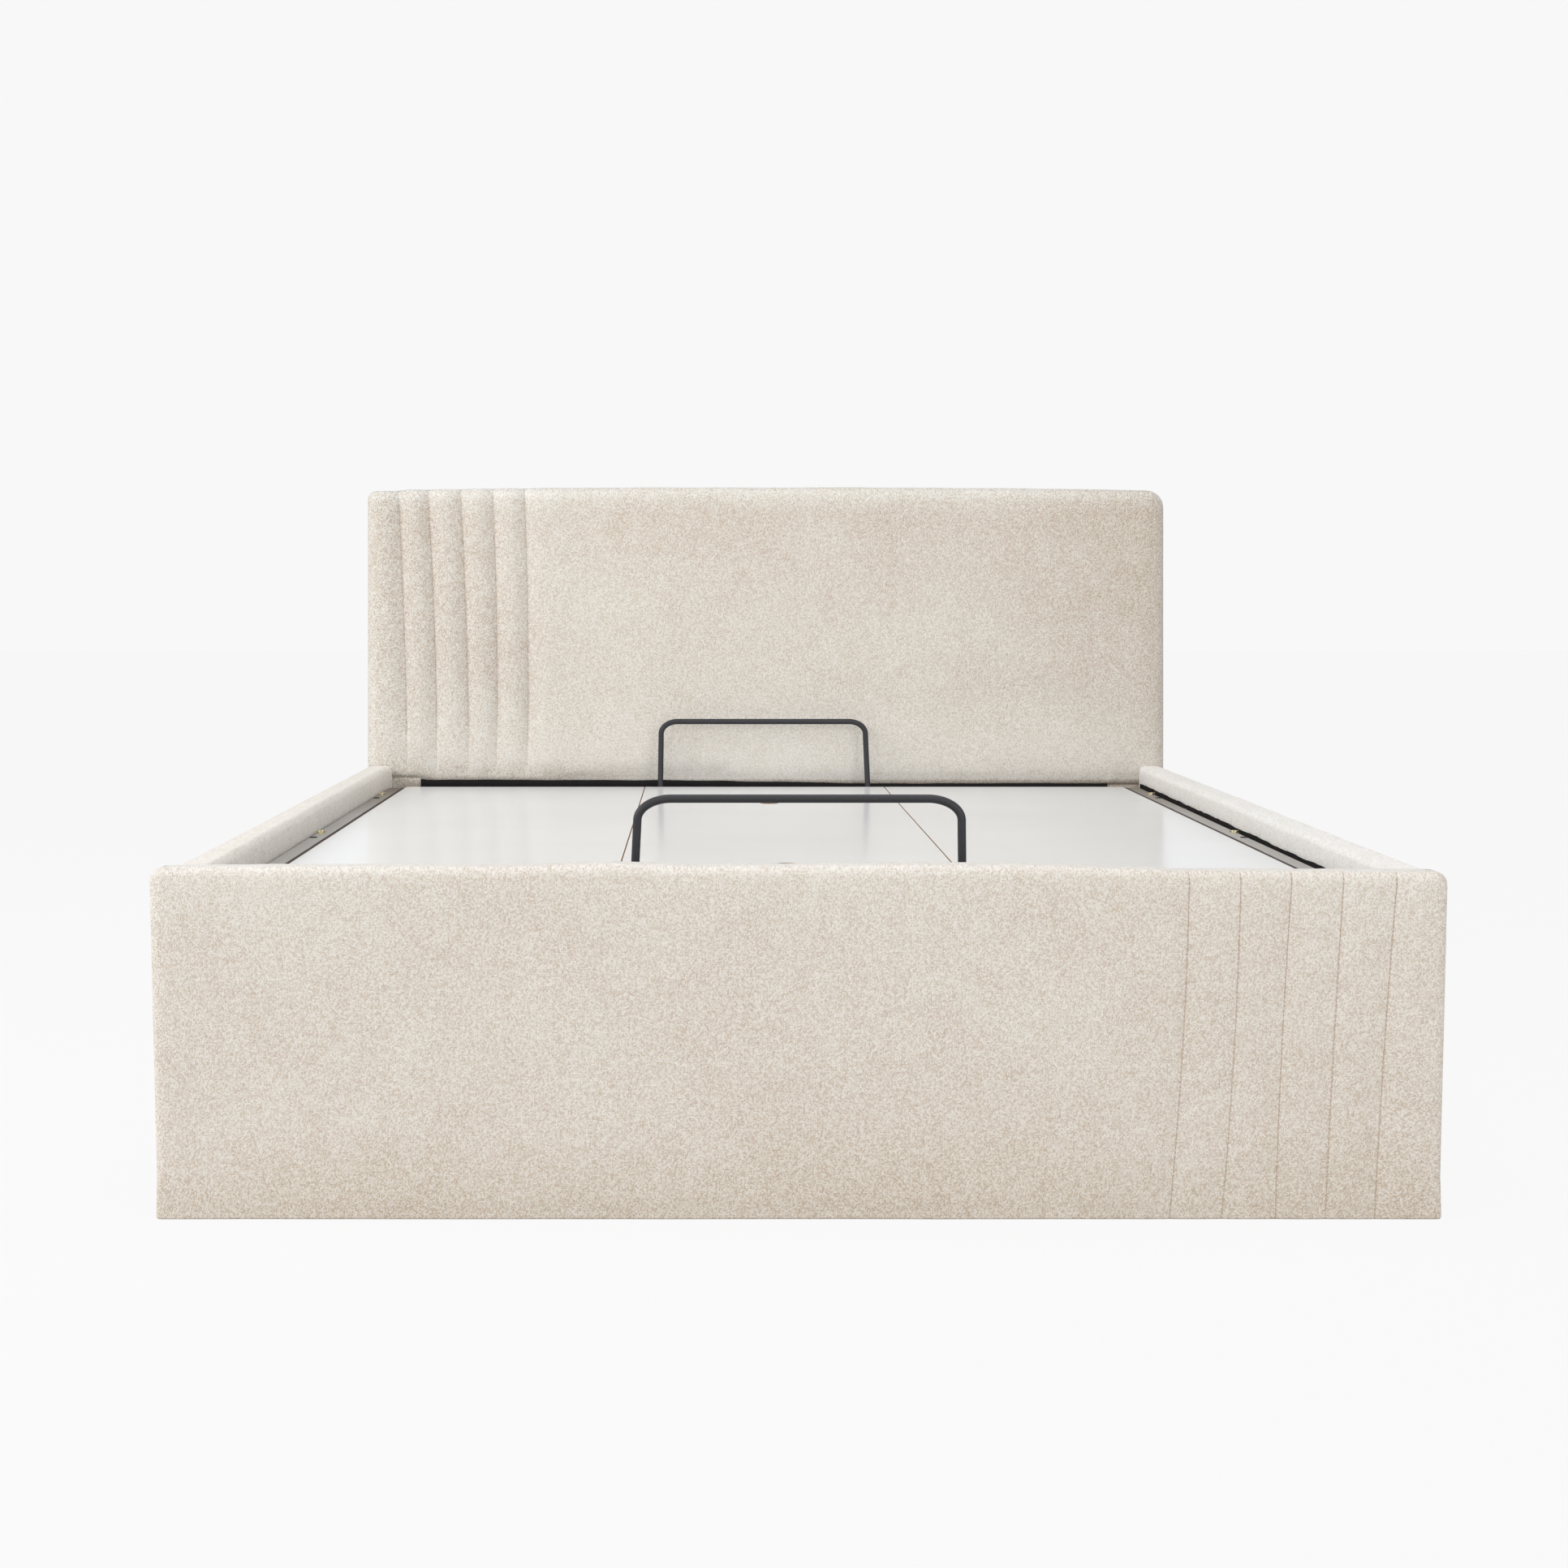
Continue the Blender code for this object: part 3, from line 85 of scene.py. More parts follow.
class Field:
    """A shader socket that takes part in sums as a number does."""

    def __init__(self, finish, socket):
        self.finish = finish
        self.socket = socket

    def sum_with(self, operation, *terms):
        return self.finish.node("Math", {"operation": operation}, dict(enumerate(terms)))

    def operator(operation, turned=False):
        """A method for one sign, with its own value first or, when turned, last."""
        def made(self, other):
            return self.sum_with(operation, *((other, self) if turned else (self, other)))

        return made

    __add__, __radd__ = operator("ADD"), operator("ADD", True)
    __sub__, __rsub__ = operator("SUBTRACT"), operator("SUBTRACT", True)
    __mul__, __rmul__ = operator("MULTIPLY"), operator("MULTIPLY", True)
    __truediv__, __gt__ = operator("DIVIDE"), operator("GREATER_THAN")

    def __abs__(self):
        return self.sum_with("ABSOLUTE", self)

    def wave(self):
        return self.sum_with("SINE", self)

    def fraction(self):
        return self.sum_with("FRACT", self)

    def split(self):
        """The three parts of a vector."""
        parts = self.finish.node("SeparateXYZ", {}, {0: self})
        return parts, parts.beside(1), parts.beside(2)

    def beside(self, output):
        """Another output of the same node."""
        return Field(self.finish, self.socket.node.outputs[output])

    def spread(self, low, high, out_low=0.0, out_high=1.0):
        """This value's range low to high, mapped to another range and clamped to it."""
        limits = {0: self, 1: low, 2: high, 3: out_low, 4: out_high}
        return self.finish.node("MapRange", {"clamp": True}, limits)


class Finish:
    """A material in the making: constants on its main shader, and methods that add nodes."""

    def __init__(self, name, **constants):
        self.material = bpy.data.materials.new(name)
        self.material.use_nodes = True
        self.tree = self.material.node_tree
        self.shader = self.tree.nodes["Principled BSDF"]
        for socket, value in constants.items():
            self.shader.inputs[socket.replace("_", " ")].default_value = value

    def node(self, kind, settings, inputs, output=0):
        """Add a shader node whose inputs may be fields."""
        sockets = {name: value.socket if isinstance(value, Field) else value for name, value in inputs.items()}
        return Field(self, add_node(self.tree, "ShaderNode" + kind, settings, sockets)[output])

    def place(self, kind="Object"):
        """The piece's own coordinates, or its own normal."""
        return self.node("TexCoord", {}, {}, kind)

    def stretched(self, place, scale):
        """Coordinates scaled by a vector."""
        return self.node("Mapping", {}, {"Vector": place, "Scale": scale})

    def grain(self, size, detail=2.0, roughness=0.5, place=None):
        """Soft noise whose lumps are about size across, centred on 0, over the piece's own coordinates or others."""
        sockets = {"Vector": place or self.place(), "Scale": 0.5 / size, "Detail": detail, "Roughness": roughness}
        return self.node("TexNoise", {}, sockets) - 0.5

    def mix(self, factor, first, second):
        """A colour between two, of which the second may be plain."""
        second = (*second, 1.0) if isinstance(second, tuple) else second
        return self.node("Mix", {"data_type": "RGBA"}, {0: factor, 6: first, 7: second}, 2)

    def ramp(self, factor, *stops):
        """A colour picked along a ramp of stops."""
        picked = self.node("ValToRGB", {}, {"Fac": factor})
        elements = picked.socket.node.color_ramp.elements
        for index, (place, color) in enumerate(stops):
            stop = elements[index] if index < 2 else elements.new(place)
            stop.position, stop.color = place, (*color, 1.0)
        return picked

    def set(self, color, roughness=None, relief=None):
        """Link what changes over the surface. The relief is a height in metres."""
        if relief:
            relief = self.node("Bump", {}, {"Strength": 1.0, "Distance": 1.0, "Height": relief})
        for name, field in {"Base Color": color, "Roughness": roughness, "Normal": relief}.items():
            if field:
                self.tree.links.new(field.socket, self.shader.inputs[name])
        return self.material


def give(material, *names):
    """Put a material on CAD nodes that stay."""
    for name in names:
        slots = NODES[name].data.materials
        slots.clear()
        slots.append(material)


def pairs(*stems):
    """The names of nodes that stand left and right."""
    return [f"{stem}_{side}" for stem in stems for side in SIDES]


def timber(name, scale):
    """Planed softwood whose grain is long in the direction of the small scale."""
    finish = Finish(name)
    place = finish.stretched(finish.place(), scale)
    rings = finish.grain(0.022, 3.0, 0.6, place)
    bands = (rings * 46.0).wave() * 0.5 + 0.5
    fibre = finish.grain(0.0012, place=place)
    pale, middle, dark = (0.70, 0.50, 0.30), (0.60, 0.39, 0.21), (0.43, 0.25, 0.12)
    color = finish.ramp(bands * 0.75 + fibre * 0.5 + 0.1, (0.0, pale), (0.62, middle), (1.0, dark))
    return finish.set(color, roughness=fibre * 0.3 + 0.62, relief=fibre * 0.0004 + bands * 0.00008)


give(timber("planed_timber_along", (1.0, 0.06, 1.0)), *pairs("rail_board", "floor_ledger"), "floor_beam")
give(timber("planed_timber_across", (0.06, 1.0, 1.0)), "headboard_panel", "footboard_panel")


# Headboard pad: foam under a looped chenille, pulled over the top and sides and stapled behind.
# Five sewn channels stand at its left, plump between their seams, and the lower edge rolls in under itself
# above the platform, where the black lining starts.

HEAD_HALF, HEAD_TOP = 0.825, 1.015
HEAD_BASE, HEAD_BACK = 0.989, 1.075
PAD_HEM = 0.008
TUCK = 0.4095
CHANNEL, CHANNELS = 0.0655, 5
SPANS, CLOTH_STEP = 6, 0.011  # the pressed cloth's steps across a channel, and its step in height
HEAD_ROUND, HEAD_TURN, HEAD_CORNER = 0.024, 0.008, {-1: 0.017, 1: 0.036}
HEAD_SEAMS = ((-0.0012, 0.0190, 0.19), (-0.0060, 0.0195, 0.27), (-0.0032, 0.0180, 0.22), (-0.0016, 0.0080, 0.60))
HEAD_SEAMS += ((-0.0013, 0.0065, 0.70),)
HEAD_DIPS = ((-0.79, 0.0028), (-0.73, 0.0), (0.6, 0.0), (0.75, 0.0018))
HEAD_TUCKS = ((-0.75, 0.4120), (-0.69, 0.4043), (-0.25, 0.4034), (0.02, 0.4010), (0.22, 0.3965), (0.75, 0.3972))
HEAD_POCKET = ((-0.7953, 1.0300, -0.01), (0.7953, HEAD_BACK + 0.01, 0.9973))
YARN_UP, YARN_ACROSS, STITCH_PITCH = 0.0031, 0.0029, 0.0060


def chenille(name, grain_size, weave_contrast, cloud_contrast, painted_shading, painted_sheen, seams=None, nap=1.0):
    """Looped chenille in cream, oat and tan yarns, on the piece's own UV map, which is in metres.

    The shading function gives painted light and shade: a slow change of tone over the panel where light falls more or
    less.
    The sheen pair is a paler colour and the function of its share: a painted sheen and highlight, more on the pale
    yarns.
    seams gives the side, -1 or 1, of the five seams whose creases get painted shade, how strong that painted shade
    is, and the heights between which that shows. nap below 1 lays the loops over lengthwise.
    """
    finish = Finish(name, Roughness=0.95, Specular_IOR_Level=0.14, Sheen_Weight=0.45, Sheen_Roughness=0.4)
    flat = finish.node("UVMap", {"uv_map": "cloth"}, {})
    across, up, _ = flat.split()
    sheet = finish.stretched(flat, (nap, 1.0, 1.0))
    sway = finish.grain(0.009, 1.0, place=sheet) * 0.0030  # threads wander by up to 1.5 mm
    bent = finish.node("CombineXYZ", {}, {0: across * nap + sway, 1: (up + sway) * 0.78, 2: 0.0})
    cells = {"Vector": bent, "Scale": 1 / grain_size, "Randomness": 0.75}
    loops = finish.node("TexVoronoi", {"voronoi_dimensions": "2D"}, cells, "Distance")
    tint, _, _ = loops.beside("Color").split()
    rows = (up * (2 * pi / YARN_UP)).wave() * 0.5 + 0.5
    columns = (across * (2 * pi / YARN_ACROSS)).wave() * 0.5 + 0.5
    fleck = finish.grain(0.0028, 2.0, 0.7, finish.stretched(sheet, (1.0, 0.7, 1.0)))
    patch = finish.grain(0.020, 3.0, 0.55, finish.stretched(sheet, (1.0, 0.75, 1.0)))
    cloud = finish.grain(0.16, place=flat)
    weave = (tint - 0.5) * 0.56 - loops * 0.20 + fleck * 0.14 + (rows + columns - 1.0) * 0.045 + patch * 0.17
    # the tone takes the painted light and shade of the panel
    shade = 0.66 + weave * weave_contrast + cloud * cloud_contrast + painted_shading(across, up)
    tones = ((0.00, (0.430, 0.325, 0.236)), (0.30, (0.572, 0.486, 0.397)))
    tones += ((0.58, (0.690, 0.632, 0.560)), (1.00, (0.820, 0.786, 0.735)))
    painted_sheen_color, share = painted_sheen
    # the paler colour mixed in here is a painted sheen and highlight, more on the pale yarns
    color = finish.mix(share(across, up) * (1 + weave * 2.0), finish.ramp(shade, *tones), painted_sheen_color)
    # painted shade in the seam creases: the cloth is mixed towards dark tan near each seam, more at each stitch
    if seams:
        side, depth, low, high = seams
        place = (HEAD_HALF - side * across) / CHANNEL
        nearest = abs((place + 0.5).fraction() - 0.5) * CHANNEL
        seam_shade_mask = (place > 0.5) * (1 - (place > CHANNELS + 0.5))
        seam_shade_mask *= up.spread(low, low + 0.03) * up.spread(high - 0.012, high, 1.0, 0.0)
        pull = (up * (2 * pi / STITCH_PITCH)).wave() * 0.40 + 0.60
        color = finish.mix(nearest.spread(0.0002, 0.0014, depth, 0.0) * seam_shade_mask * pull, color, (0.42, 0.28, 0.175))
    relief = (0.6 - loops) * 0.0006 + rows * columns * 0.0002 + fleck * 0.0002 + patch * 0.0004
    return finish.set(color, relief=relief)


def eased(values):
    """Sorted places without near-doubles."""
    kept = []
    for value in sorted(values):
        if not kept or value - kept[-1] > 0.0004:
            kept.append(value)
    return kept


def edge_steps(radius):
    """Insets from a rim that follow a quarter round in seven even steps."""
    return [radius * (1 - sin(pi / 2 * step / 7)) for step in range(7, -1, -1)]


def pad_columns(side, half_width, edge, spacing):
    """Columns across a pad, dense at its rim and at the seams."""
    near = [0.0, 0.0008, 0.0016, 0.0028, 0.0045, 0.0075, 0.012, 0.018, 0.0255]
    seams = [CHANNEL * (index + 1) for index in range(CHANNELS)]
    insets = [seam + way * off for seam in seams for off in near for way in (-1, 1)]
    insets += edge_steps(edge) + [2 * half_width - inset for inset in edge_steps(edge)]
    start, stop = seams[-1] + near[-1], 2 * half_width - edge
    count = round((stop - start) / spacing)
    insets += [start + (stop - start) * step / count for step in range(1, count)]
    insets += [edge + (CHANNEL - near[-1] - edge) * share for share in (0.35, 0.7)]
    return eased(side * (half_width - inset) for inset in insets)


def pad_rows(low, high, edge, spacing, extra=()):
    """Rows up a pad, dense at its rim and at named heights."""
    rows = [low + inset for inset in edge_steps(edge)] + [high - inset for inset in edge_steps(edge)]
    count = round((high - low - 2 * edge) / spacing)
    rows += [low + edge + (high - low - 2 * edge) * step / count for step in range(1, count)]
    return eased([*rows, *extra])


def lean_at(inset, drop, seams):
    """How far a column stands towards the middle of the bed, a share of the way down.

    Each seam has its start at the top, its lean and its bow.
    """
    leans = [start + lean * (drop + 4 * bow * drop * (1 - drop)) for start, lean, bow in seams]
    stops = [0.0, *leans, leans[-1] / 2, 0.0, 0.0]
    place = min(inset / CHANNEL, len(stops) - 1.001)
    before = int(place)
    return stops[before] + (stops[before + 1] - stops[before]) * (place - before)


def eased_between(x, stops):
    """A height at x, eased from each (place, height) to the next."""
    for (start, low), (stop, high) in zip(stops, stops[1:]):
        if x <= stop:
            share = min(max((x - start) / (stop - start), 0.0), 1.0)
            return low + (high - low) * share * share * (3 - 2 * share)
    return stops[-1][1]


def lobes_at(inset, plump, power, crease, narrow):
    """Depth of the channels below the crown of a pad: lobes between the seams, and a crease at each seam."""
    nearest = min(max(round(inset / CHANNEL), 1), CHANNELS)
    distance = abs(inset - nearest * CHANNEL)
    share = min(distance / CHANNEL, 0.5)
    return plump * (1 - sin(pi * share) ** power) + crease * exp(-distance / narrow)


def rounding(away, radius):
    """How far a rounded form has drawn in, at a distance from its end."""
    inward = radius - min(max(away, 0.0), radius)
    return radius - sqrt(radius**2 - inward**2)


def past_corner(x, z, half_width, low, high, corner):
    """How far a point lies past the start of a pad's corner, across and up or down."""
    return abs(x) - (half_width - corner), abs(z - (low + high) / 2) - ((high - low) / 2 - corner)


def rounded(x, z, half_width, low, high, corner):
    """Pull a point of a square-cornered grid onto its place in a round-cornered one."""
    across, up = past_corner(x, z, half_width, low, high, corner)
    if across <= 0 or up <= 0:
        return x, z
    pull = max(across, up) / hypot(across, up) - 1
    return x + across * pull * (1 if x > 0 else -1), z + up * pull * (1 if z > (low + high) / 2 else -1)


def edge_fall(x, z, half_width, low, high, corner, edge):
    """How far a pad's face falls back near its rim, as a quarter round."""
    across, up = past_corner(x, z, half_width, low, high, corner)
    return rounding(corner - hypot(max(across, 0), max(up, 0)) - min(max(across, up), 0), edge)


def unevenness(x, z, seed, size, height):
    """Slow hand-made waviness of stretched fabric."""
    return height * noise.noise(Vector((x / size, seed, z / size)))


def band_faces(count, rings, closed=True):
    """Quads between rings of count points, all the way round if they are closed."""
    around = [(spot, (spot + 1) % count) for spot in range(count if closed else count - 1)]
    starts = range(0, (rings - 1) * count, count)
    return [(r + a, r + b, r + count + b, r + count + a) for r in starts for a, b in around]


def mesh_of(name, points, faces, edges=()):
    """A mesh from points and what lies between them."""
    mesh = bpy.data.meshes.new(name)
    mesh.from_pydata(points, edges, faces)
    return mesh


def linked(name, data):
    """A new object in the scene."""
    piece = bpy.data.objects.new(name, data)
    bpy.context.scene.collection.objects.link(piece)
    return piece


def pad_mesh(name, columns, rows, layers, shape, material):
    """A closed pad: a grid for its face, layers of wall behind its rim, and a flat back.

    shape(column, row, layer) gives each point and its place on the cloth.
    """
    wide, tall = len(columns), len(rows)
    placed = [shape(x, z, 0) for z in rows for x in columns]
    faces = band_faces(wide, tall, False)
    rim = [(c, 0) for c in range(wide)] + [(wide - 1, r) for r in range(1, tall)]
    rim += [(c, tall - 1) for c in range(wide - 2, -1, -1)] + [(0, r) for r in range(tall - 2, 0, -1)]
    ring = [r * wide + c for c, r in rim]
    for layer in range(1, layers + 1):
        fresh = list(range(len(placed), len(placed) + len(rim)))
        placed += [shape(columns[c], rows[r], layer) for c, r in rim]
        faces += zip(ring, fresh, fresh[1:] + fresh[:1], ring[1:] + ring[:1])
        ring = fresh
    faces.append(tuple(reversed(ring)))
    mesh = mesh_of(name, [point for point, _ in placed], faces)
    uv = mesh.uv_layers.new(name="cloth").data
    for face in mesh.polygons:
        back = face.loop_total > 4
        face.use_smooth = not back
        for corner in face.loop_indices:
            point, flat = placed[mesh.loops[corner].vertex_index]
            uv[corner].uv = (point[0], point[2]) if back else flat
    mesh.materials.append(material)
    return linked(name, mesh)


def hollow(piece, low, high):
    """Cut the pocket that the timber panel stands in, and keep the result as the piece's mesh."""
    cutter = linked("pocket", bpy.data.meshes.new("pocket"))
    shell = bmesh.new()
    bmesh.ops.create_cube(shell, size=1.0)
    low, high = Vector(low), Vector(high)
    bmesh.ops.scale(shell, vec=high - low, verts=shell.verts)
    bmesh.ops.translate(shell, vec=(low + high) / 2, verts=shell.verts)
    shell.to_mesh(cutter.data)
    shell.free()
    cut = piece.modifiers.new("pocket", "BOOLEAN")
    cut.operation, cut.solver, cut.object = "DIFFERENCE", "EXACT", cutter
    ready = piece.evaluated_get(bpy.context.evaluated_depsgraph_get())
    whole, piece_mesh = piece.data, bpy.data.meshes.new_from_object(ready)
    piece.modifiers.clear()
    piece.data = piece_mesh
    piece_mesh.name = piece.name
    bpy.data.meshes.remove(whole)
    bpy.data.objects.remove(cutter, do_unlink=True)


def swell_at(swell, half_width, side, x, z):
    """The depth that the simulated face gains at a place, between the four nearest points of its grid."""
    if not swell:
        return 0.0
    low, step, rows = swell
    across = min(max((half_width - side * x) / (CHANNEL / SPANS), 0.0), len(rows[0]) - 1.001)
    up = min(max((z - low) / step, 0.0), len(rows) - 1.001)
    c, r = int(across), int(up)
    across, up = across - c, up - r
    lower = rows[r][c] * (1 - across) + rows[r][c + 1] * across
    upper = rows[r + 1][c] * (1 - across) + rows[r + 1][c + 1] * across
    return lower * (1 - up) + upper * up


def pressed(name, shape, half_width, side, low, high, most, caught=None):
    """Press the cloth of a pad's face outwards, by simulation, between its pinned rim and seams.

    most is how far a point may move, and caught(x) is the height below which the cloth is held.
    """
    wide, tall = int(2 * half_width / (CHANNEL / SPANS)) + 1, round((high - low) / CLOTH_STEP)
    step = (high - low) / tall
    points, pinned = [], []
    for r in range(tall + 1):
        z = low + step * r
        for c in range(wide):
            x = side * (half_width - c * CHANNEL / SPANS)
            points.append(shape(x, z, 0)[0])
            seam = c % SPANS == 0 and 0 < c <= SPANS * CHANNELS
            rim = c < 2 or c > wide - 3 or r < 2 or r > tall - 2
            if seam or rim or (caught and z < caught(x)):
                pinned.append(len(points) - 1)
    quads = band_faces(wide, tall + 1, False)
    faces = [(a, d, c, b) if side > 0 else (b, c, d, a) for a, b, c, d in quads]
    sheet = linked(name, mesh_of(name, points, faces))
    sheet.vertex_groups.new(name="sewn").add(pinned, 1.0, "REPLACE")
    cloth = sheet.modifiers.new("cloth", "CLOTH").settings
    cloth.quality, cloth.mass = 5, 0.3
    cloth.tension_stiffness, cloth.compression_stiffness, cloth.bending_stiffness = 20.0, 20.0, 0.2
    cloth.vertex_group_mass = "sewn"
    cloth.shrink_min = -0.006
    cloth.use_pressure, cloth.uniform_pressure_force = True, 4.0
    cloth.effector_weights.gravity = 0.0
    for moment in range(1, 21):
        bpy.context.scene.frame_set(moment)
    ready = sheet.evaluated_get(bpy.context.evaluated_depsgraph_get()).data
    moved = [after.co[1] - before[1] for after, before in zip(ready.vertices, points)]
    rows = [[most * tanh(gain / most) for gain in moved[r * wide : (r + 1) * wide]] for r in range(tall + 1)]
    bpy.data.objects.remove(sheet, do_unlink=True)
    bpy.context.scene.frame_set(1)
    return [low, step, rows]


def wall_at(layer, straight, curved, depth, radius):
    """Behind a pad's rim: how far back the cloth is, how far it is drawn in, and its run along the wall.

    The wall is straight for some layers, and then curved on a radius.
    """
    turn = max(0.0, (layer - straight) / curved) * pi / 2
    run = min(layer / straight, 1.0) * (depth - radius)
    return run + radius * sin(turn), radius * (1 - cos(turn)), run + radius * turn


def folded(x, y, z, flat_x, walk, half_width, top, corner):
    """A point and its place on the cloth, which runs on over the rim."""
    fold_x = walk * (1 if x > 0 else -1) if abs(flat_x) > half_width - corner else 0.0
    fold_z = walk if z > top - 2 * corner else 0.0
    return (x, y, z), (flat_x + fold_x, z + fold_z)


def head_tuck(x):
    """Height of the roll along the pad's lower edge, which lifts beside the rails."""
    return eased_between(x, HEAD_TUCKS) + unevenness(x, 0, 3.1, 0.06, 0.0010)


head_swell = []


def head_shape(x, z, layer):
    """A point of the headboard's pad."""
    swell = swell_at(head_swell, HEAD_HALF, -1, x, z)
    inset = HEAD_HALF + x
    tuck = head_tuck(x)
    rise = min(max((z - TUCK) / (HEAD_TOP - TUCK), 0.0), 1.0)
    flat_x = x
    x += lean_at(inset, 1 - rise, HEAD_SEAMS)
    corner = HEAD_CORNER[-1 if x < 0 else 1]
    x, z = rounded(x, z, HEAD_HALF, PAD_HEM, HEAD_TOP, corner)
    lobes = lobes_at(inset, plump=0.0128, power=0.8, crease=0.0012, narrow=0.0026) * min(1.0, 5 * rise)
    sides = 1 - (flat_x / HEAD_HALF) ** 2
    if layer == 0:
        y = HEAD_BASE - 0.0025 * sides * sin(pi * rise) ** 0.7 + swell
        y += edge_fall(x, z, HEAD_HALF, PAD_HEM, HEAD_TOP, corner, HEAD_ROUND) + lobes
        above = z - tuck
        if above < 0:
            y += 0.0030 + 0.0040 * exp(above / 0.004)
        else:
            y += 0.0070 * (1 - sqrt(1 - (1 - min(above / 0.013, 1.0)) ** 2))
        y += unevenness(flat_x, z, 0.3, 0.16, 0.0012) + unevenness(flat_x, z, 7.7, 0.045, 0.0005)
        walk = 0.0
    else:
        back, pull, walk = wall_at(layer, 6, 4, HEAD_BACK - HEAD_BASE - HEAD_ROUND, HEAD_TURN)
        y = HEAD_BASE + HEAD_ROUND + back
        x -= pull * (flat_x / HEAD_HALF)
        z -= pull * (2 * (z - PAD_HEM) / (HEAD_TOP - PAD_HEM) - 1)
    top = max(0.0, (z - TUCK) / (HEAD_TOP - TUCK))
    z -= (0.005 * (flat_x / HEAD_HALF) ** 2 + eased_between(flat_x, HEAD_DIPS)) * top
    z -= lobes * 0.12 * top**12 * (1 - min(walk / 0.05, 1.0))
    x += 0.0075 * max(0.0, (flat_x - 0.4) / 0.425)
    z += unevenness(flat_x, z, 5.2, 0.12, 0.0008) * top**6
    return folded(x, y, z, flat_x, walk, HEAD_HALF, HEAD_TOP, corner)


cloth_back = chenille(
    "chenille_headboard",
    grain_size=0.0017,
    weave_contrast=0.82,
    cloud_contrast=0.32,
    # a faint painted shade in the seam creases
    seams=(-1, 0.05, TUCK, HEAD_TOP),
    # painted light and shade: lighter low on the face and darker higher up, darker at the right end and at the far
    # left, a painted shadow above the roll at the left, painted shade on the tab under the roll beside the rails, and
    # a painted highlight along the top edge
    painted_shading=lambda across, up: (
        up.spread(0.41, 0.60, 0.16, -0.10)
        - up.spread(0.70, 0.95, 0.0, 0.12) * across.spread(-0.50, -0.30)
        - across.spread(0.30, 0.80, 0.0, 0.20) * up.spread(0.50, 0.85, 1.0, 0.55)
        - across.spread(-0.80, -0.30, 0.25, 0.0)
        - across.spread(-0.45, -0.15, 0.26, 0.0) * up.spread(0.402, 0.412) * up.spread(0.418, 0.448, 1.0, 0.0)
    )
    * abs(across).spread(0.80, 0.83, 1.0, 0.0)
    - up.spread(0.401, 0.410, 0.5, 0.0) * up.spread(0.35, 0.37) * abs(across).spread(0.770, 0.782, 1.0, 0.0)
    + up.spread(0.985, 1.003, 0.0, 0.16) * up.spread(1.02, 1.04, 1.0, 0.0),
    # painted sheen and highlight: paler towards the top edge and towards the left, where the light comes from
    painted_sheen=(
        (0.865, 0.90, 0.885),
        lambda across, up: (up.spread(0.96, 1.00, 0.18, 0.36) + across.spread(-0.80, -0.30, 0.16, 0.0))
        * up.spread(1.02, 1.04, 1.0, 0.2)
        * abs(across).spread(0.80, 0.83, 1.0, 0.4),
    ),
)
head_swell += pressed("headboard_face", head_shape, HEAD_HALF, -1, PAD_HEM, HEAD_TOP, most=0.0030, caught=head_tuck)
head_columns = pad_columns(-1, HEAD_HALF, HEAD_ROUND, spacing=0.0068)
tuck_rows = [TUCK + step * 0.0016 for step in range(-9, 12)]
head_rows = pad_rows(PAD_HEM, HEAD_TOP, HEAD_ROUND, spacing=0.0075, extra=tuck_rows)
head_pad = pad_mesh("headboard_cushion", head_columns, head_rows, 10, head_shape, cloth_back)
hollow(head_pad, *HEAD_POCKET)
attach(head_pad, "base")
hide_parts("headboard_pad")


# Footboard pad: thinner foam under the same chenille, over the outside, the top and the inside.
# Five channels are sewn nearly flat at its right, and its sides draw in a little towards the floor.

FOOT_HALF, FOOT_TOP = 0.825, 0.447
FOOT_FRONT, FOOT_BACK = -1.075, -1.020
FOOT_HEM, FOOT_ROUND, FOOT_SHARP, FOOT_CORNER, FOOT_TURN = 0.0003, 0.014, 0.003, 0.018, 0.010
FOOT_SEAMS = ((0.0005, 0.0203, 0.12), (0.0030, 0.0155, 0.10), (0.0031, 0.0140, 0.20), (0.0031, 0.0178, -0.22))
FOOT_SEAMS += ((0.0031, 0.0195, -0.215),)
FOOT_CREST = ((-0.80, 0.0006), (-0.67, 0.0018), (-0.38, 0.0014), (-0.254, 0.0052), (-0.12, 0.0020), (0.12, 0.0042))
FOOT_CREST += ((0.275, 0.0040), (0.40, -0.0008), (0.50, -0.0040), (0.82, -0.0046))
FOOT_POCKET = ((-0.7953, -1.0465, -0.01), (0.7953, -1.0265, 0.4293))
foot_swell = []


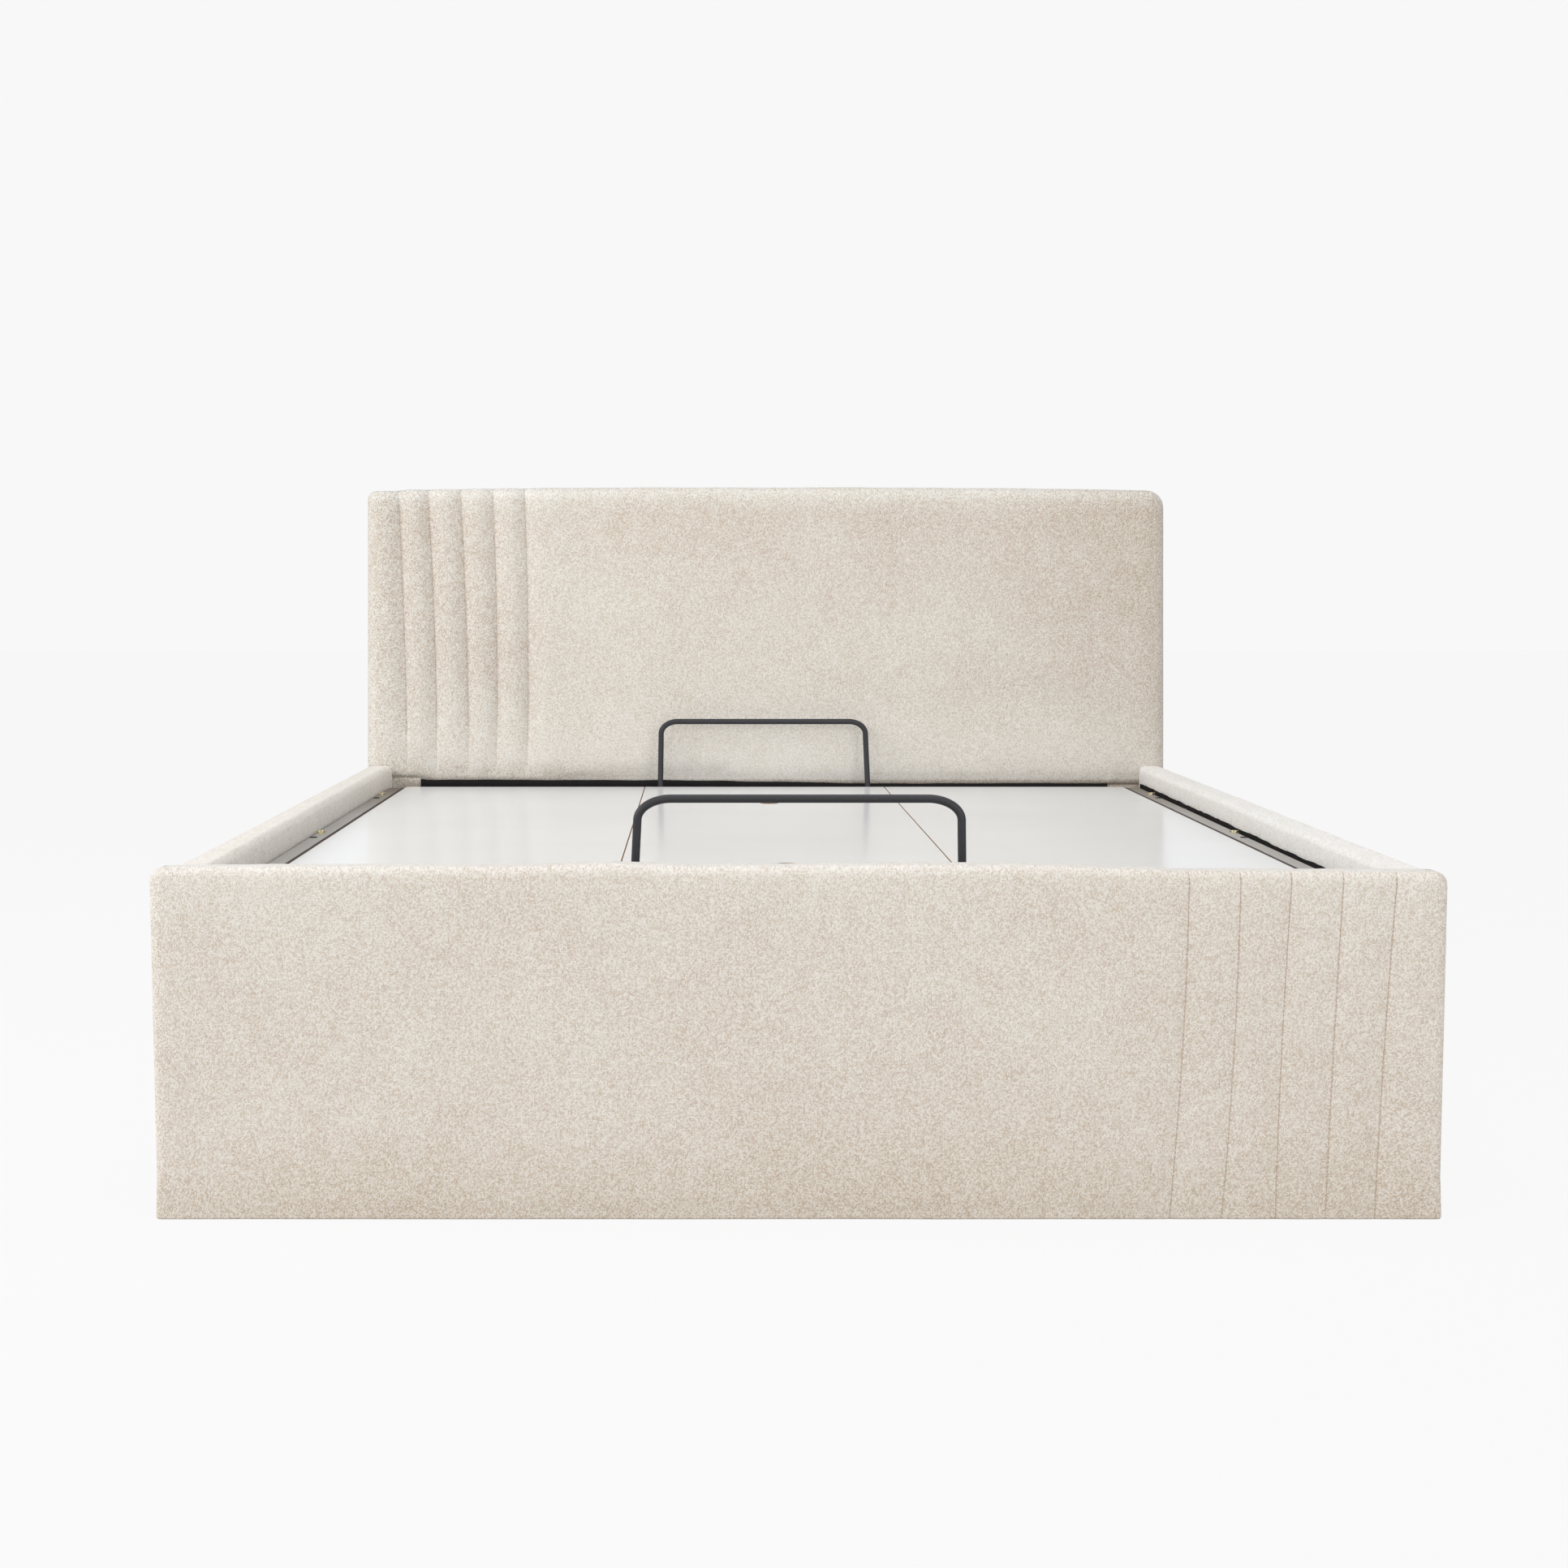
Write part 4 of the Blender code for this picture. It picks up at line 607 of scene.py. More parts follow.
def foot_shape(x, z, layer):
    """A point of the footboard's pad."""
    swell = swell_at(foot_swell, FOOT_HALF, 1, x, z)
    inset = FOOT_HALF - x
    rise = (z - FOOT_HEM) / (FOOT_TOP - FOOT_HEM)
    flat_x = x
    x -= lean_at(inset, 1 - rise, FOOT_SEAMS)
    corner = FOOT_CORNER if rise > 0.5 else 0.004
    x, z = rounded(x, z, FOOT_HALF, FOOT_HEM, FOOT_TOP, corner)
    lobes = lobes_at(inset, plump=0.0008, power=0.7, crease=0.0009, narrow=0.0009)
    if layer == 0:
        crown = (1 - (flat_x / FOOT_HALF) ** 2) * sin(pi * rise)
        y = FOOT_FRONT + 0.0010 + 0.003 * (1 - crown) + lobes + swell
        edge = FOOT_SHARP + (FOOT_ROUND - FOOT_SHARP) * min(8 * rise, 1.0)
        y += edge_fall(x, z, FOOT_HALF, FOOT_HEM, FOOT_TOP, corner, edge)
        y += unevenness(flat_x, z, 1.3, 0.14, 0.0010) + unevenness(flat_x, z, 8.1, 0.05, 0.0005)
        walk = 0.0
    else:
        back, pull, walk = wall_at(layer, 4, 5, FOOT_BACK - FOOT_FRONT - FOOT_SHARP - FOOT_ROUND, FOOT_TURN)
        y = FOOT_FRONT + FOOT_SHARP + FOOT_ROUND + back
        x -= pull * flat_x / FOOT_HALF
        z -= pull * (2 * rise - 1)
    spare = 0.0025 - 0.011 * (1 - rise) if x > 0 else 0.0052 - 0.0115 * (1 - rise)
    x *= 1 + spare / FOOT_HALF
    top = max(0.0, rise)
    z -= lobes * 0.5 * top**20 * (1 - min(walk / 0.03, 1.0))
    z += unevenness(flat_x, z, 2.6, 0.05, 0.0009) * top**8 + eased_between(flat_x, FOOT_CREST) * top**2
    return folded(x, y, z, flat_x, walk, FOOT_HALF, FOOT_TOP, FOOT_CORNER)


cloth_front = chenille(
    "chenille_footboard",
    grain_size=0.0015,
    weave_contrast=1.06,
    cloud_contrast=0.28,
    # painted shade in the seam creases
    seams=(1, 0.80, -0.05, FOOT_TOP),
    # painted light and shade: lighter upwards and towards the left, a painted highlight on the top crest, and darker
    # towards the floor
    painted_shading=lambda across, up: up.spread(0.10, 0.31, 0.0, 0.03) + up.spread(0.36, 0.43, 0.0, 0.045)
    + across.spread(-0.85, -0.50, 0.08, 0.0) * up.spread(0.15, 0.40)
    + up.spread(0.434, 0.447, 0.0, 0.09)
    - up.spread(0.02, 0.12, 0.10, 0.0),
    # painted sheen and highlight: paler over the top crest
    painted_sheen=((0.91, 0.90, 0.89), lambda across, up: up.spread(0.436, 0.449, 0.0, 0.26)),
)
foot_swell += pressed("footboard_face", foot_shape, FOOT_HALF, 1, FOOT_HEM, FOOT_TOP, most=0.0015)
foot_columns = pad_columns(1, FOOT_HALF, FOOT_ROUND, spacing=0.0060)
foot_rows = pad_rows(FOOT_HEM, FOOT_TOP, FOOT_ROUND, spacing=0.0060)
foot_pad = pad_mesh("footboard_cushion", foot_columns, foot_rows, 9, foot_shape, cloth_front)
hollow(foot_pad, *FOOT_POCKET)
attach(foot_pad, "base")
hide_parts("footboard_pad")


# Seams of the channels: tan polyester thread, sewn by machine through the fabric, the foam and a backing cloth.
# There is one stitch about every 6 mm, and each pulls the cloth down into the crease.

def circle(radius, sides):
    """Points round a circle."""
    angles = [2 * pi * side / sides for side in range(sides)]
    return [(radius * cos(angle), radius * sin(angle)) for angle in angles]


def small_part(name, rings, quads):
    """A small closed form that is repeated: quads between rings of points, and a face over each end."""
    count, points = len(rings[0]), [point for ring in rings for point in ring]
    ends = [tuple(reversed(range(count))), tuple(range(len(points) - count, len(points)))]
    return linked(name, mesh_of(name, points, quads + ends))


def laying_tree():
    """Geometry nodes that lay a unit along paths: its X along the path, its Z out of what it lies on."""
    tree = bpy.data.node_groups.new("laid_along", "GeometryNodeTree")
    kinds = {"Paths": "Geometry", "Unit": "Object", "Pitch": "Float", "Facing": "Vector"}
    kinds.update({"Wobble": "Vector", "Seed": "Int", "Material": "Material"})
    for name, kind in kinds.items():
        tree.interface.new_socket(name, in_out="INPUT", socket_type="NodeSocket" + kind)
    tree.interface.new_socket("Geometry", in_out="OUTPUT", socket_type="NodeSocketGeometry")

    def add(*node):
        return add_node(tree, *node)

    given = add("NodeGroupInput", {}, {})
    paths = add("GeometryNodeMeshToCurve", {}, {"Mesh": given["Paths"]})
    stops = add("GeometryNodeResampleCurve", {"mode": "LENGTH"}, {"Curve": paths[0], "Length": given["Pitch"]})
    unit = add("GeometryNodeObjectInfo", {}, {"Object": given["Unit"]})
    along = add("GeometryNodeInputTangent", {}, {})
    lined = add("FunctionNodeAlignRotationToVector", {"axis": "X"}, {"Vector": along[0]})
    facing = {"Rotation": lined[0], "Vector": given["Facing"]}
    faced = add("FunctionNodeAlignRotationToVector", {"axis": "Z", "pivot_axis": "X"}, facing)
    least = add("ShaderNodeVectorMath", {"operation": "SCALE"}, {0: given["Wobble"], "Scale": -1.0})
    limits = {0: least[0], 1: given["Wobble"], "Seed": given["Seed"]}
    turn = add("FunctionNodeRandomValue", {"data_type": "FLOAT_VECTOR"}, limits)
    turned = add("FunctionNodeEulerToRotation", {}, {0: turn[0]})
    final = add("FunctionNodeRotateRotation", {"rotation_space": "LOCAL"}, {0: faced[0], 1: turned[0]})
    repeats = {"Points": stops[0], "Instance": unit["Geometry"], "Rotation": final[0]}
    laid = add("GeometryNodeInstanceOnPoints", {}, repeats)
    real = add("GeometryNodeRealizeInstances", {}, {0: laid[0]})
    coated = add("GeometryNodeSetMaterial", {}, {"Geometry": real[0], "Material": given["Material"]})
    add("NodeGroupOutput", {}, {0: coated[0]})
    return tree


laying = laying_tree()


def laid_along(name, paths, unit, pitch, facing, material, body, wobble=(0.0, 0.0, 0.0)):
    """Repeat a unit along paths, and make one plain mesh of the result."""
    points, edges = [], []
    for route in paths:
        edges += [(len(points) + index, len(points) + index + 1) for index in range(len(route) - 1)]
        points += route
    host = linked(name + "_path", mesh_of(name + "_path", points, [], edges))
    grown = host.modifiers.new("laid_along", "NODES")
    grown.node_group = laying
    values = {"Unit": unit, "Pitch": pitch, "Facing": facing, "Wobble": wobble, "Seed": 7, "Material": material}
    for item in laying.interface.items_tree:
        if item.in_out == "INPUT" and item.name in values:
            grown[item.identifier] = values[item.name]
    bpy.context.view_layer.update()
    ready = host.evaluated_get(bpy.context.evaluated_depsgraph_get())
    plain = bpy.data.meshes.new_from_object(ready)
    host.modifiers.clear()
    piece = linked(name, plain)
    for spare in (host, unit):
        bpy.data.objects.remove(spare, do_unlink=True)
    plain.shade_smooth()
    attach(piece, body)


def grained(name, size, tones, height=None, detail=2.0, rough=0.5, gloss=None, **constants):
    """A plain finish with fine grain that runs through its tones.

    height is the relief of the grain. gloss is a roughness and how far the grain changes it.
    """
    finish = Finish(name, **constants)
    grain = finish.grain(size, detail, rough)
    color = finish.ramp(0.5 + grain, *((place / (len(tones) - 1), tone) for place, tone in enumerate(tones)))
    return finish.set(color, gloss and gloss[0] + grain * gloss[1], height and grain * height)


thread_tones = ((0.44, 0.35, 0.26), (0.60, 0.51, 0.42))
thread = grained("tan_thread", 0.0012, thread_tones, height=0.0002, detail=1.0, Roughness=0.8)


def stitches(name, shape, side, half_width, low, high):
    """The stitches of one panel's five seams."""
    routes = []
    for index in range(CHANNELS):
        x = side * (half_width - CHANNEL * (index + 1))
        places = [shape(x, low + (high - low) * step / 60, 0)[0] for step in range(61)]
        routes.append([(x, y - 0.0002, z) for x, y, z in places])
    stitch = [(-0.0021, 0.00008), (-0.0018, 0.00028), (0.0, 0.00036), (0.0018, 0.00028), (0.0021, 0.00008)]
    rings = [[(x, *spot) for spot in circle(radius, 6)] for x, radius in stitch]
    unit = small_part(name + "_unit", rings, [(b, c, d, a) for a, b, c, d in band_faces(6, len(rings))])
    laid_along(name, routes, unit, STITCH_PITCH, (0, -1, 0), thread, "base", (0.0, 0.05, 0.09))


stitches("headboard_stitches", head_shape, -1, HEAD_HALF, TUCK + 0.030, HEAD_TOP - 0.022)
stitches("footboard_stitches", foot_shape, 1, FOOT_HALF, FOOT_HEM + 0.012, FOOT_TOP - 0.012)


# Rail covers: chenille over a strip of foam on each side rail, turned over the top and stapled inside.
# Its inner edge is cut by hand, so it waves a little. On the left it reaches below the frame's top, on the
# right it stops above it, and at the headboard the cloth is folded round the rail's end.

RAIL_FOOT, RAIL_HEAD = -1.0197, 0.9882
RAIL_OUTER, RAIL_INNER, RAIL_TOP = 0.825, 0.777, 0.436
RAIL_EDGE = {"left": (0.3880, 0.3880), "right": (0.3968, 0.4008)}
RAIL_PUFF = {"left": 0.0060, "right": 0.0004}
RAIL_FOLD, FOLD_EDGE = 0.011, 0.3900  # how far the fold at the headboard reaches, and the height of its edge


def quarter(x, z, radius, first):
    """Points on a quarter round, from an angle in degrees."""
    angles = [radians(first + 90 * step / 9) for step in range(10)]
    return [(x + radius * cos(angle), z + radius * sin(angle)) for angle in angles]


def wander(place, size, height, seed):
    """A slow wander along one direction."""
    return height * noise.noise(Vector((place / size, seed, 0.37)))


def rail_edge(name, y):
    """Height of the cloth's cut edge inside a rail, which is straight where it is folded at the headboard."""
    first, last = RAIL_EDGE[name]
    edge = first + (last - first) * (y - RAIL_FOOT) / (RAIL_HEAD - RAIL_FOOT)
    edge += wander(y, 0.030, 0.0011, 9.1) + wander(y, 0.11, 0.0014, 3.3)
    return FOLD_EDGE if RAIL_HEAD - y < RAIL_FOLD else edge


def rail_section(name, y):
    """The outline of a rail's cover at one place: the part that shows, outer hem first, then the hidden part."""
    outer, inner, hem = 0.015, 0.0115, 0.0125
    board_inside, board_outside, board_top = 0.7817, 0.8073, 0.4246
    to_head, to_foot = RAIL_HEAD - y, y - RAIL_FOOT
    slim = rounding(to_head, 0.010) + rounding(to_foot, 0.006)
    lower = rail_edge(name, y)
    swell = wander(y, 0.17, 0.0012, 1.1)
    top = RAIL_TOP + 0.0008 + wander(y, 0.09, 0.0008, 2.7) - rounding(to_head, 0.018) - rounding(to_foot, 0.006)
    puff = RAIL_PUFF[name] * exp(-(((to_head - 0.012) / 0.026) ** 2)) + wander(y, 0.12, 0.0007, 6.3)
    outside, inside = RAIL_OUTER - slim, RAIL_INNER + slim - puff
    shown = [(outside - 0.003, hem), (outside - 0.0006, 0.0150)]
    shown += [(outside + swell * sin(pi * share), 0.02 + 0.398 * share) for share in (0.05, 0.2, 0.4, 0.6, 0.8, 0.95)]
    shown += quarter(outside - outer, top - outer, outer, 0)
    shown += quarter(inside + inner, top - inner - 0.0004, inner, 90)
    shown += [(inside - 0.0003, 0.4150), (inside, lower + 0.0060), (inside + 0.0002, lower + 0.0012)]
    shown += [(inside + 0.0007, lower), (inside + 0.0015, lower + 0.0002)]
    hidden = [(inside + 0.0019, lower + 0.0015), (inside + 0.0019, 0.4150), (board_inside, 0.4200)]
    hidden += [(board_inside, board_top), (board_outside, board_top), (board_outside, hem)]
    return shown, hidden


def smoothed(mesh, edit, angle, material):
    """Edit a mesh's shell, and shade it smooth up to an angle in degrees."""
    shell = bmesh.new()
    shell.from_mesh(mesh)
    edit(shell)
    shell.to_mesh(mesh)
    shell.free()
    mesh.shade_smooth()
    mesh.set_sharp_from_angle(angle=radians(angle))
    mesh.materials.clear()
    mesh.materials.append(material)


def swept(name, rings, angle, material, cloth=None):
    """A closed form through rings of points, with its ends filled and its faces turned outwards."""
    count, points = len(rings[0]), [point for ring in rings for point in ring]
    ends = [tuple(range(count)), tuple(range(len(points) - count, len(points)))]
    mesh = mesh_of(name, points, band_faces(count, len(rings)) + ends)
    if cloth:
        uv = mesh.uv_layers.new(name="cloth").data
        for loop in mesh.loops:
            uv[loop.index].uv = cloth[loop.vertex_index]
    smoothed(mesh, lambda shell: bmesh.ops.recalc_face_normals(shell, faces=shell.faces), angle, material)
    return linked(name, mesh)


def rail_places():
    """Places along a rail, closer together at its ends."""
    near = [0.0, 0.0006, 0.002, 0.004, 0.007, 0.0105, 0.0112, 0.014, 0.018, 0.023, 0.029]
    middle = [RAIL_FOOT + 0.036 + (RAIL_HEAD - RAIL_FOOT - 0.072) * step / 300 for step in range(301)]
    return [RAIL_FOOT + off for off in near] + middle + [RAIL_HEAD - off for off in reversed(near)]


def rail_cover(name, side, tone, pale, painted_sheen_color):
    """One rail's cover, swept along the bed, with painted light that makes it lighter and paler over its top and
    inside.
    """
    cloth_rail = chenille(
        "chenille_rail_" + name,
        grain_size=0.0020,
        weave_contrast=1.3,
        cloud_contrast=0.22,
        # painted light and painted sheen over the top and inside
        painted_shading=lambda across, up: up.spread(0.10, 0.44, 0.0, tone),
        painted_sheen=(painted_sheen_color, lambda across, up: up.spread(0.34, 0.45, 0.0, pale)),
        nap=0.75,
    )
    rings, cloth = [], []
    for y in rail_places():
        shown, hidden = rail_section(name, y)
        run, last = 0.0, shown[0]
        for point in shown + hidden:
            run += hypot(point[0] - last[0], point[1] - last[1])
            last = point
            cloth.append((y, run) if side > 0 else (y + 3.0, run))
        rings.append([(side * x, y, z) for x, z in shown + hidden])
    piece = swept("rail_wrap_" + name, rings, 60, cloth_rail, cloth)
    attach(piece, "base")
    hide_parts("rail_cover_" + name)


# lit and shaded copies of one chenille: the right rail is painted lighter and paler, as light falls on its inside
# from the left
rail_cover("left", -1, tone=0.26, pale=0.48, painted_sheen_color=(0.95, 0.905, 0.825))
rail_cover("right", 1, tone=0.36, pale=0.90, painted_sheen_color=(0.93, 0.91, 0.88))


# Linings: black non-woven cloth inside the rails, across the footboard and headboard, and over the back.
# It is thin, dull and a little fibrous, and stapled flat.

woven = Finish("black_lining", Roughness=0.88, Specular_IOR_Level=0.15)
fibre, cloud = woven.grain(0.0016, 3.0, 0.7), woven.grain(0.05)
lining_tone = woven.ramp(0.5 + fibre + cloud * 0.5, (0.0, (0.004, 0.004, 0.004)), (1.0, (0.022, 0.020, 0.020)))
lining = woven.set(lining_tone, relief=fibre * 0.0005 + cloud * 0.002)
give(lining, "headboard_back_cover", "footboard_inner_lining", *pairs("rail_lining"))


def head_lining_ring(x):
    """The headboard's inner lining at one place: a thin cloth whose top is tucked under the pad's roll."""
    out = wander(x, 0.07, 0.0004, 5.1)
    tuck = head_tuck(x) + wander(x, 0.05, 0.0005, 2.2)
    front = [(0.9874, 0.100), (0.9873, 0.200), (0.9872, 0.330), (0.9872 + out, 0.385), (0.9874 + out, tuck - 0.005)]
    front += [(0.9884, tuck + 0.0003), (0.9908, tuck + 0.0030)]
    back = [(0.9916, tuck + 0.0023), (0.9896, tuck - 0.0003), (0.9887, tuck - 0.005)]
    back += [(0.9887, 0.385), (0.9887, 0.100)]
    return [(x, y, z) for y, z in front + back]


LINING_HALF = 0.712
lining_rings = [head_lining_ring(-LINING_HALF + 2 * LINING_HALF * step / 120) for step in range(121)]
head_lining = swept("headboard_tucked_lining", lining_rings, angle=40, material=lining)
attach(head_lining, "base")
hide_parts("headboard_inner_lining")


# Staples: crowns of flat galvanised wire, 10 mm wide, that hold the linings and the back cover.
# They are shot in by an air stapler, in a row every 5 to 7 cm, and none lies quite straight.

wire_tones = ((0.42, 0.42, 0.43), (0.62, 0.62, 0.63))
staple_wire = grained("staple_wire", 0.003, wire_tones, height=0.0001, detail=1.0, Roughness=0.35, Metallic=1.0)


def staple(name):
    """A crown whose legs go down into the cloth."""
    half, wide, thick = 0.0050, 0.0006, 0.0005
    route = [(-half, -0.0010), (-half, 0.0001), (-half + 0.0006, 0.0004), (half - 0.0006, 0.0004), (half, 0.0001)]
    route.append((half, -0.0010))
    rings = []
    for x, z in route:
        inside = x * (1 - thick / half)
        rings.append([(x, -wide, z), (x, wide, z), (inside, wide, z - thick), (inside, -wide, z - thick)])
    return small_part(name, rings, band_faces(4, len(rings)))


def stapled(name, routes, facing, pitch):
    """Staples along routes on a lining of the fixed body."""
    laid_along(name, routes, staple(name + "_unit"), pitch, facing, staple_wire, "base", (0, 0, 0.25))


half, low, high, y = 0.783, 0.034, 0.985, 1.0721
corners = [(-half, y, low), (half, y, low), (half, y, high), (-half, y, high)]
stapled("back_cover_staples", list(zip(corners, corners[1:] + corners[:1])), (0, 1, 0), pitch=0.052)
for end, y, inward in (("head", 0.9872, -1), ("foot", -1.0186, 1)):
    stapled(end + "_lining_staples", [[(-0.70, y, 0.372), (0.70, y, 0.372)]], (0, inward, 0), pitch=0.064)
for side_name, side in SIDES.items():
    line = [(side * 0.7797, -0.94, 0.352), (side * 0.7797, 0.94, 0.352)]
    stapled("rail_lining_staples_" + side_name, [line], (-side, 0, 0), pitch=0.071)


# Platform boards: three chipboard panels with white laminate on their faces and raw brown edges,
# screwed to the frame's cross tubes, and bored with two vents in the middle one.

def laminate(name, axis):
    """White laminate on the faces that look along one axis, and raw chipboard on the others."""
    finish = Finish(name, Specular_IOR_Level=0.11)
    face = abs(finish.place("Normal").split()[axis]) > 0.9
    cloud, chip, peel = finish.grain(0.20), finish.grain(0.0018, 2.0, 0.7), finish.grain(0.005, 1.0)
    across, along, _ = finish.place().split()
    # painted light and shade: the laminate is painted lighter towards the head end, against the shade there, and
    # darker towards the right
    painted_light_and_shade = along.spread(-0.9, 0.9, -0.3, 0.3) + along.spread(0.3, 0.9, 0.0, 0.3) - across.spread(0.40, 0.72, 0.0, 0.4)
    skin = finish.ramp(0.5 + cloud * 0.6 + painted_light_and_shade, (0.0, (0.765, 0.774, 0.774)), (1.0, (0.925, 0.940, 0.955)))
    core = finish.ramp(0.5 + chip, (0.2, (0.20, 0.115, 0.055)), (0.8, (0.46, 0.31, 0.18)))
    relief = chip * (1 - face) * 0.0012 + peel * 0.00002
    return finish.set(finish.mix(face, core, skin), roughness=0.82 - face * 0.64, relief=relief)


flat_laminate = laminate("white_laminate", 2)
give(flat_laminate, "platform_board_centre", *pairs("platform_board", "storage_floor"))
give(laminate("white_laminate_upright", 1), "storage_divider")


# Lifting frame: square steel tube, welded, and powder-coated grey, with the plates that bolt to it.
# The coat has a fine orange-peel skin; towards the head end it is painted darker and browner, as painted shade and a
# painted reflection of the headboard.

coat = Finish("grey_powder_coat", Specular_IOR_Level=0.25)
peel, cloud = coat.grain(0.0011), coat.grain(0.12)
across, along, _ = coat.place().split()
fresh = coat.ramp(0.5 + cloud, (0.0, (0.325, 0.310, 0.293)), (1.0, (0.405, 0.390, 0.373)))
# painted shade and painted reflection: darker and browner towards the head end, a little less so on the right
painted_head_shade = along.spread(0.30, 0.85) * across.spread(-0.7, 0.7, 1.0, 0.82)
coat_tone = coat.mix(painted_head_shade, fresh, (0.160, 0.132, 0.106))
grey_steel = coat.set(coat_tone, roughness=0.42 + peel * 0.2, relief=peel * 0.00012)
give(grey_steel, *(f"cross_tube_{place}" for place in ("foot", "front", "middle", "pivot", "head")))
give(grey_steel, *pairs("side_tube", "corner_bracket_head", "corner_bracket_foot"))
give(grey_steel, *pairs("pivot_bracket", "strut_anchor", "strut_plate"))


# Felt strips: dark brown felt in the gap between the boards and the side tubes, turned over the tube's edge.
# Their near-black colour is painted shade, standing in for the shadow in that gap.

# near-black felt tones: painted shade for the gap between boards and tubes
gap_shade_felt_tones = ((0.020, 0.012, 0.010), (0.085, 0.055, 0.045))
gap_shade_felt = grained("brown_felt", 0.0010, gap_shade_felt_tones, height=0.0004, detail=3.0, rough=0.7, Roughness=0.95)
FELT_FOOT, FELT_LENGTH, FELT_TOP, FELT_RIM = -0.962, 1.892, 0.3952, 0.7448
for side_name, side in SIDES.items():
    rings = []
    for step in range(161):
        y = FELT_FOOT + FELT_LENGTH * step / 160
        top = FELT_TOP + wander(y, 0.04, 0.0002, 8.0 + side)
        rim = FELT_RIM + wander(y, 0.05, 0.0003, 6.0 + side)
        outline = [(0.7378, 0.3860), (0.7402, 0.3860), (0.7403, 0.3939), (0.7412, 0.3941), (rim, 0.3941)]
        outline += [(rim, top - 0.0005), (rim - 0.0005, top), (0.7381, top), (0.7378, top - 0.0004)]
        rings.append([(side * x, y, z) for x, z in outline])
    strip = swept("felt_strip_" + side_name, rings, angle=40, material=gap_shade_felt)
    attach(strip, "platform")


# Frame bolts: low hexagon heads on washers, zinc-plated and passivated yellow, two on each side tube.
# A spare hole beside each of them is closed with a domed plastic plug.

zinc_tones = ((0.66, 0.54, 0.28), (0.84, 0.76, 0.50), (0.88, 0.82, 0.66))
zinc = grained("yellow_zinc", 0.006, zinc_tones, height=0.0001, gloss=(0.26, 0.15), Metallic=1.0)


def hexagon_bolt(name, x, y, base, spin):
    """A chamfered hexagon head on a round washer."""
    def ring(radius, height, hexagonal=False):
        """A ring of points, on a circle or on a hexagon."""
        places = []
        for index in range(24):
            angle = 2 * pi * index / 24
            across = (angle + pi / 6) % (pi / 3) - pi / 6
            flat = radius * cos(pi / 6) / cos(across) if hexagonal else radius
            places.append((x + flat * cos(angle + spin), y + flat * sin(angle + spin), base + height))
        return places

    rings = [ring(0.0080, 0.0), ring(0.0080, 0.0006), ring(0.0077, 0.0008), ring(0.0074, 0.0008, True)]
    rings += [ring(0.0074, 0.0031, True), ring(0.0066, 0.0037), ring(0.0060, 0.0038), ring(0.0020, 0.0036)]
    return swept(name, rings, angle=25, material=zinc)


BOLT_X, BOLT_SEAT = 0.7653, 0.3942
for side_name, side in SIDES.items():
    for place, y in (("front", -0.035), ("rear", 0.765)):
        where = side_name + "_" + place
        bolt = hexagon_bolt("hexagon_bolt_" + where, side * BOLT_X, y, BOLT_SEAT, spin=0.3 * side + y)
        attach(bolt, "platform")
        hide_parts("frame_bolt_" + where)

plug_tones = ((0.012, 0.011, 0.010), (0.030, 0.028, 0.026))
plug_plastic = grained("plug_plastic", 0.0012, plug_tones, height=0.0001, Roughness=0.85, Specular_IOR_Level=0.1)
plug_profile = [(0.0044, 0.3905), (0.0044, 0.3941), (0.0064, 0.3941), (0.0064, 0.3945), (0.0056, 0.3950)]
plug_profile += [(0.0034, 0.3953), (0.0010, 0.3954)]
for side_name, side in SIDES.items():
    for place, hole_y in (("front", -0.115), ("rear", 0.685)):
        rings = [[(side * BOLT_X + x, hole_y + y, z) for x, y in circle(radius, 24)] for radius, z in plug_profile]
        plug = swept(f"hole_plug_{side_name}_{place}", rings, angle=40, material=plug_plastic)
        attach(plug, "platform")


# Board screws: zinc-plated chipboard screws that hold the boards to the cross tubes.
# Their countersunk heads lie flush with the laminate, and pan heads stand under the tubes.

screw_tones = ((0.38, 0.38, 0.38), (0.60, 0.60, 0.61))
screw_zinc = grained("zinc_screw", 0.002, screw_tones, height=0.0001, detail=1.0, Roughness=0.4, Metallic=1.0)


def screwed(name, routes, facing, pitch, radius, height):
    """Screw heads along routes on the platform, round and with a recess."""
    profile = [(radius, 0.0), (radius * 0.93, height * 0.55), (radius * 0.62, height), (radius * 0.34, height)]
    profile.append((radius * 0.12, height * 0.2))
    rings = [[(*spot, z) for spot in circle(r, 12)] for r, z in profile]
    unit = small_part(name + "_unit", rings, band_faces(12, len(rings)))
    laid_along(name, routes, unit, pitch, facing, screw_zinc, "platform")


BOARD_TOP, SCREW_SEAT = 0.396, 0.39605
spots = ((-0.670, 0.705), (0.714, 0.608), (-0.670, -0.800), (0.714, -0.800))
short = [[(x, y, SCREW_SEAT), (x + 0.001, y, SCREW_SEAT)] for x, y in spots]
screwed("board_top_screws", short, (0, 0, 1), pitch=0.01, radius=0.0026, height=0.0003)
tube_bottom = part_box("cross_tube_front")[0][2]
rows = [[(-0.69, y, tube_bottom), (0.69, y, tube_bottom)] for y in (-0.895, -0.45, 0.02, 0.86)]
screwed("cross_tube_screws", rows, (0, 0, -1), pitch=0.1379, radius=0.0042, height=0.0022)


# Retainers and their clamps: steel rod, bent cold, and grooved steel blocks that hold its legs under the boards.
# Rods and blocks have a matt black powder coat, and the blocks are screwed on.

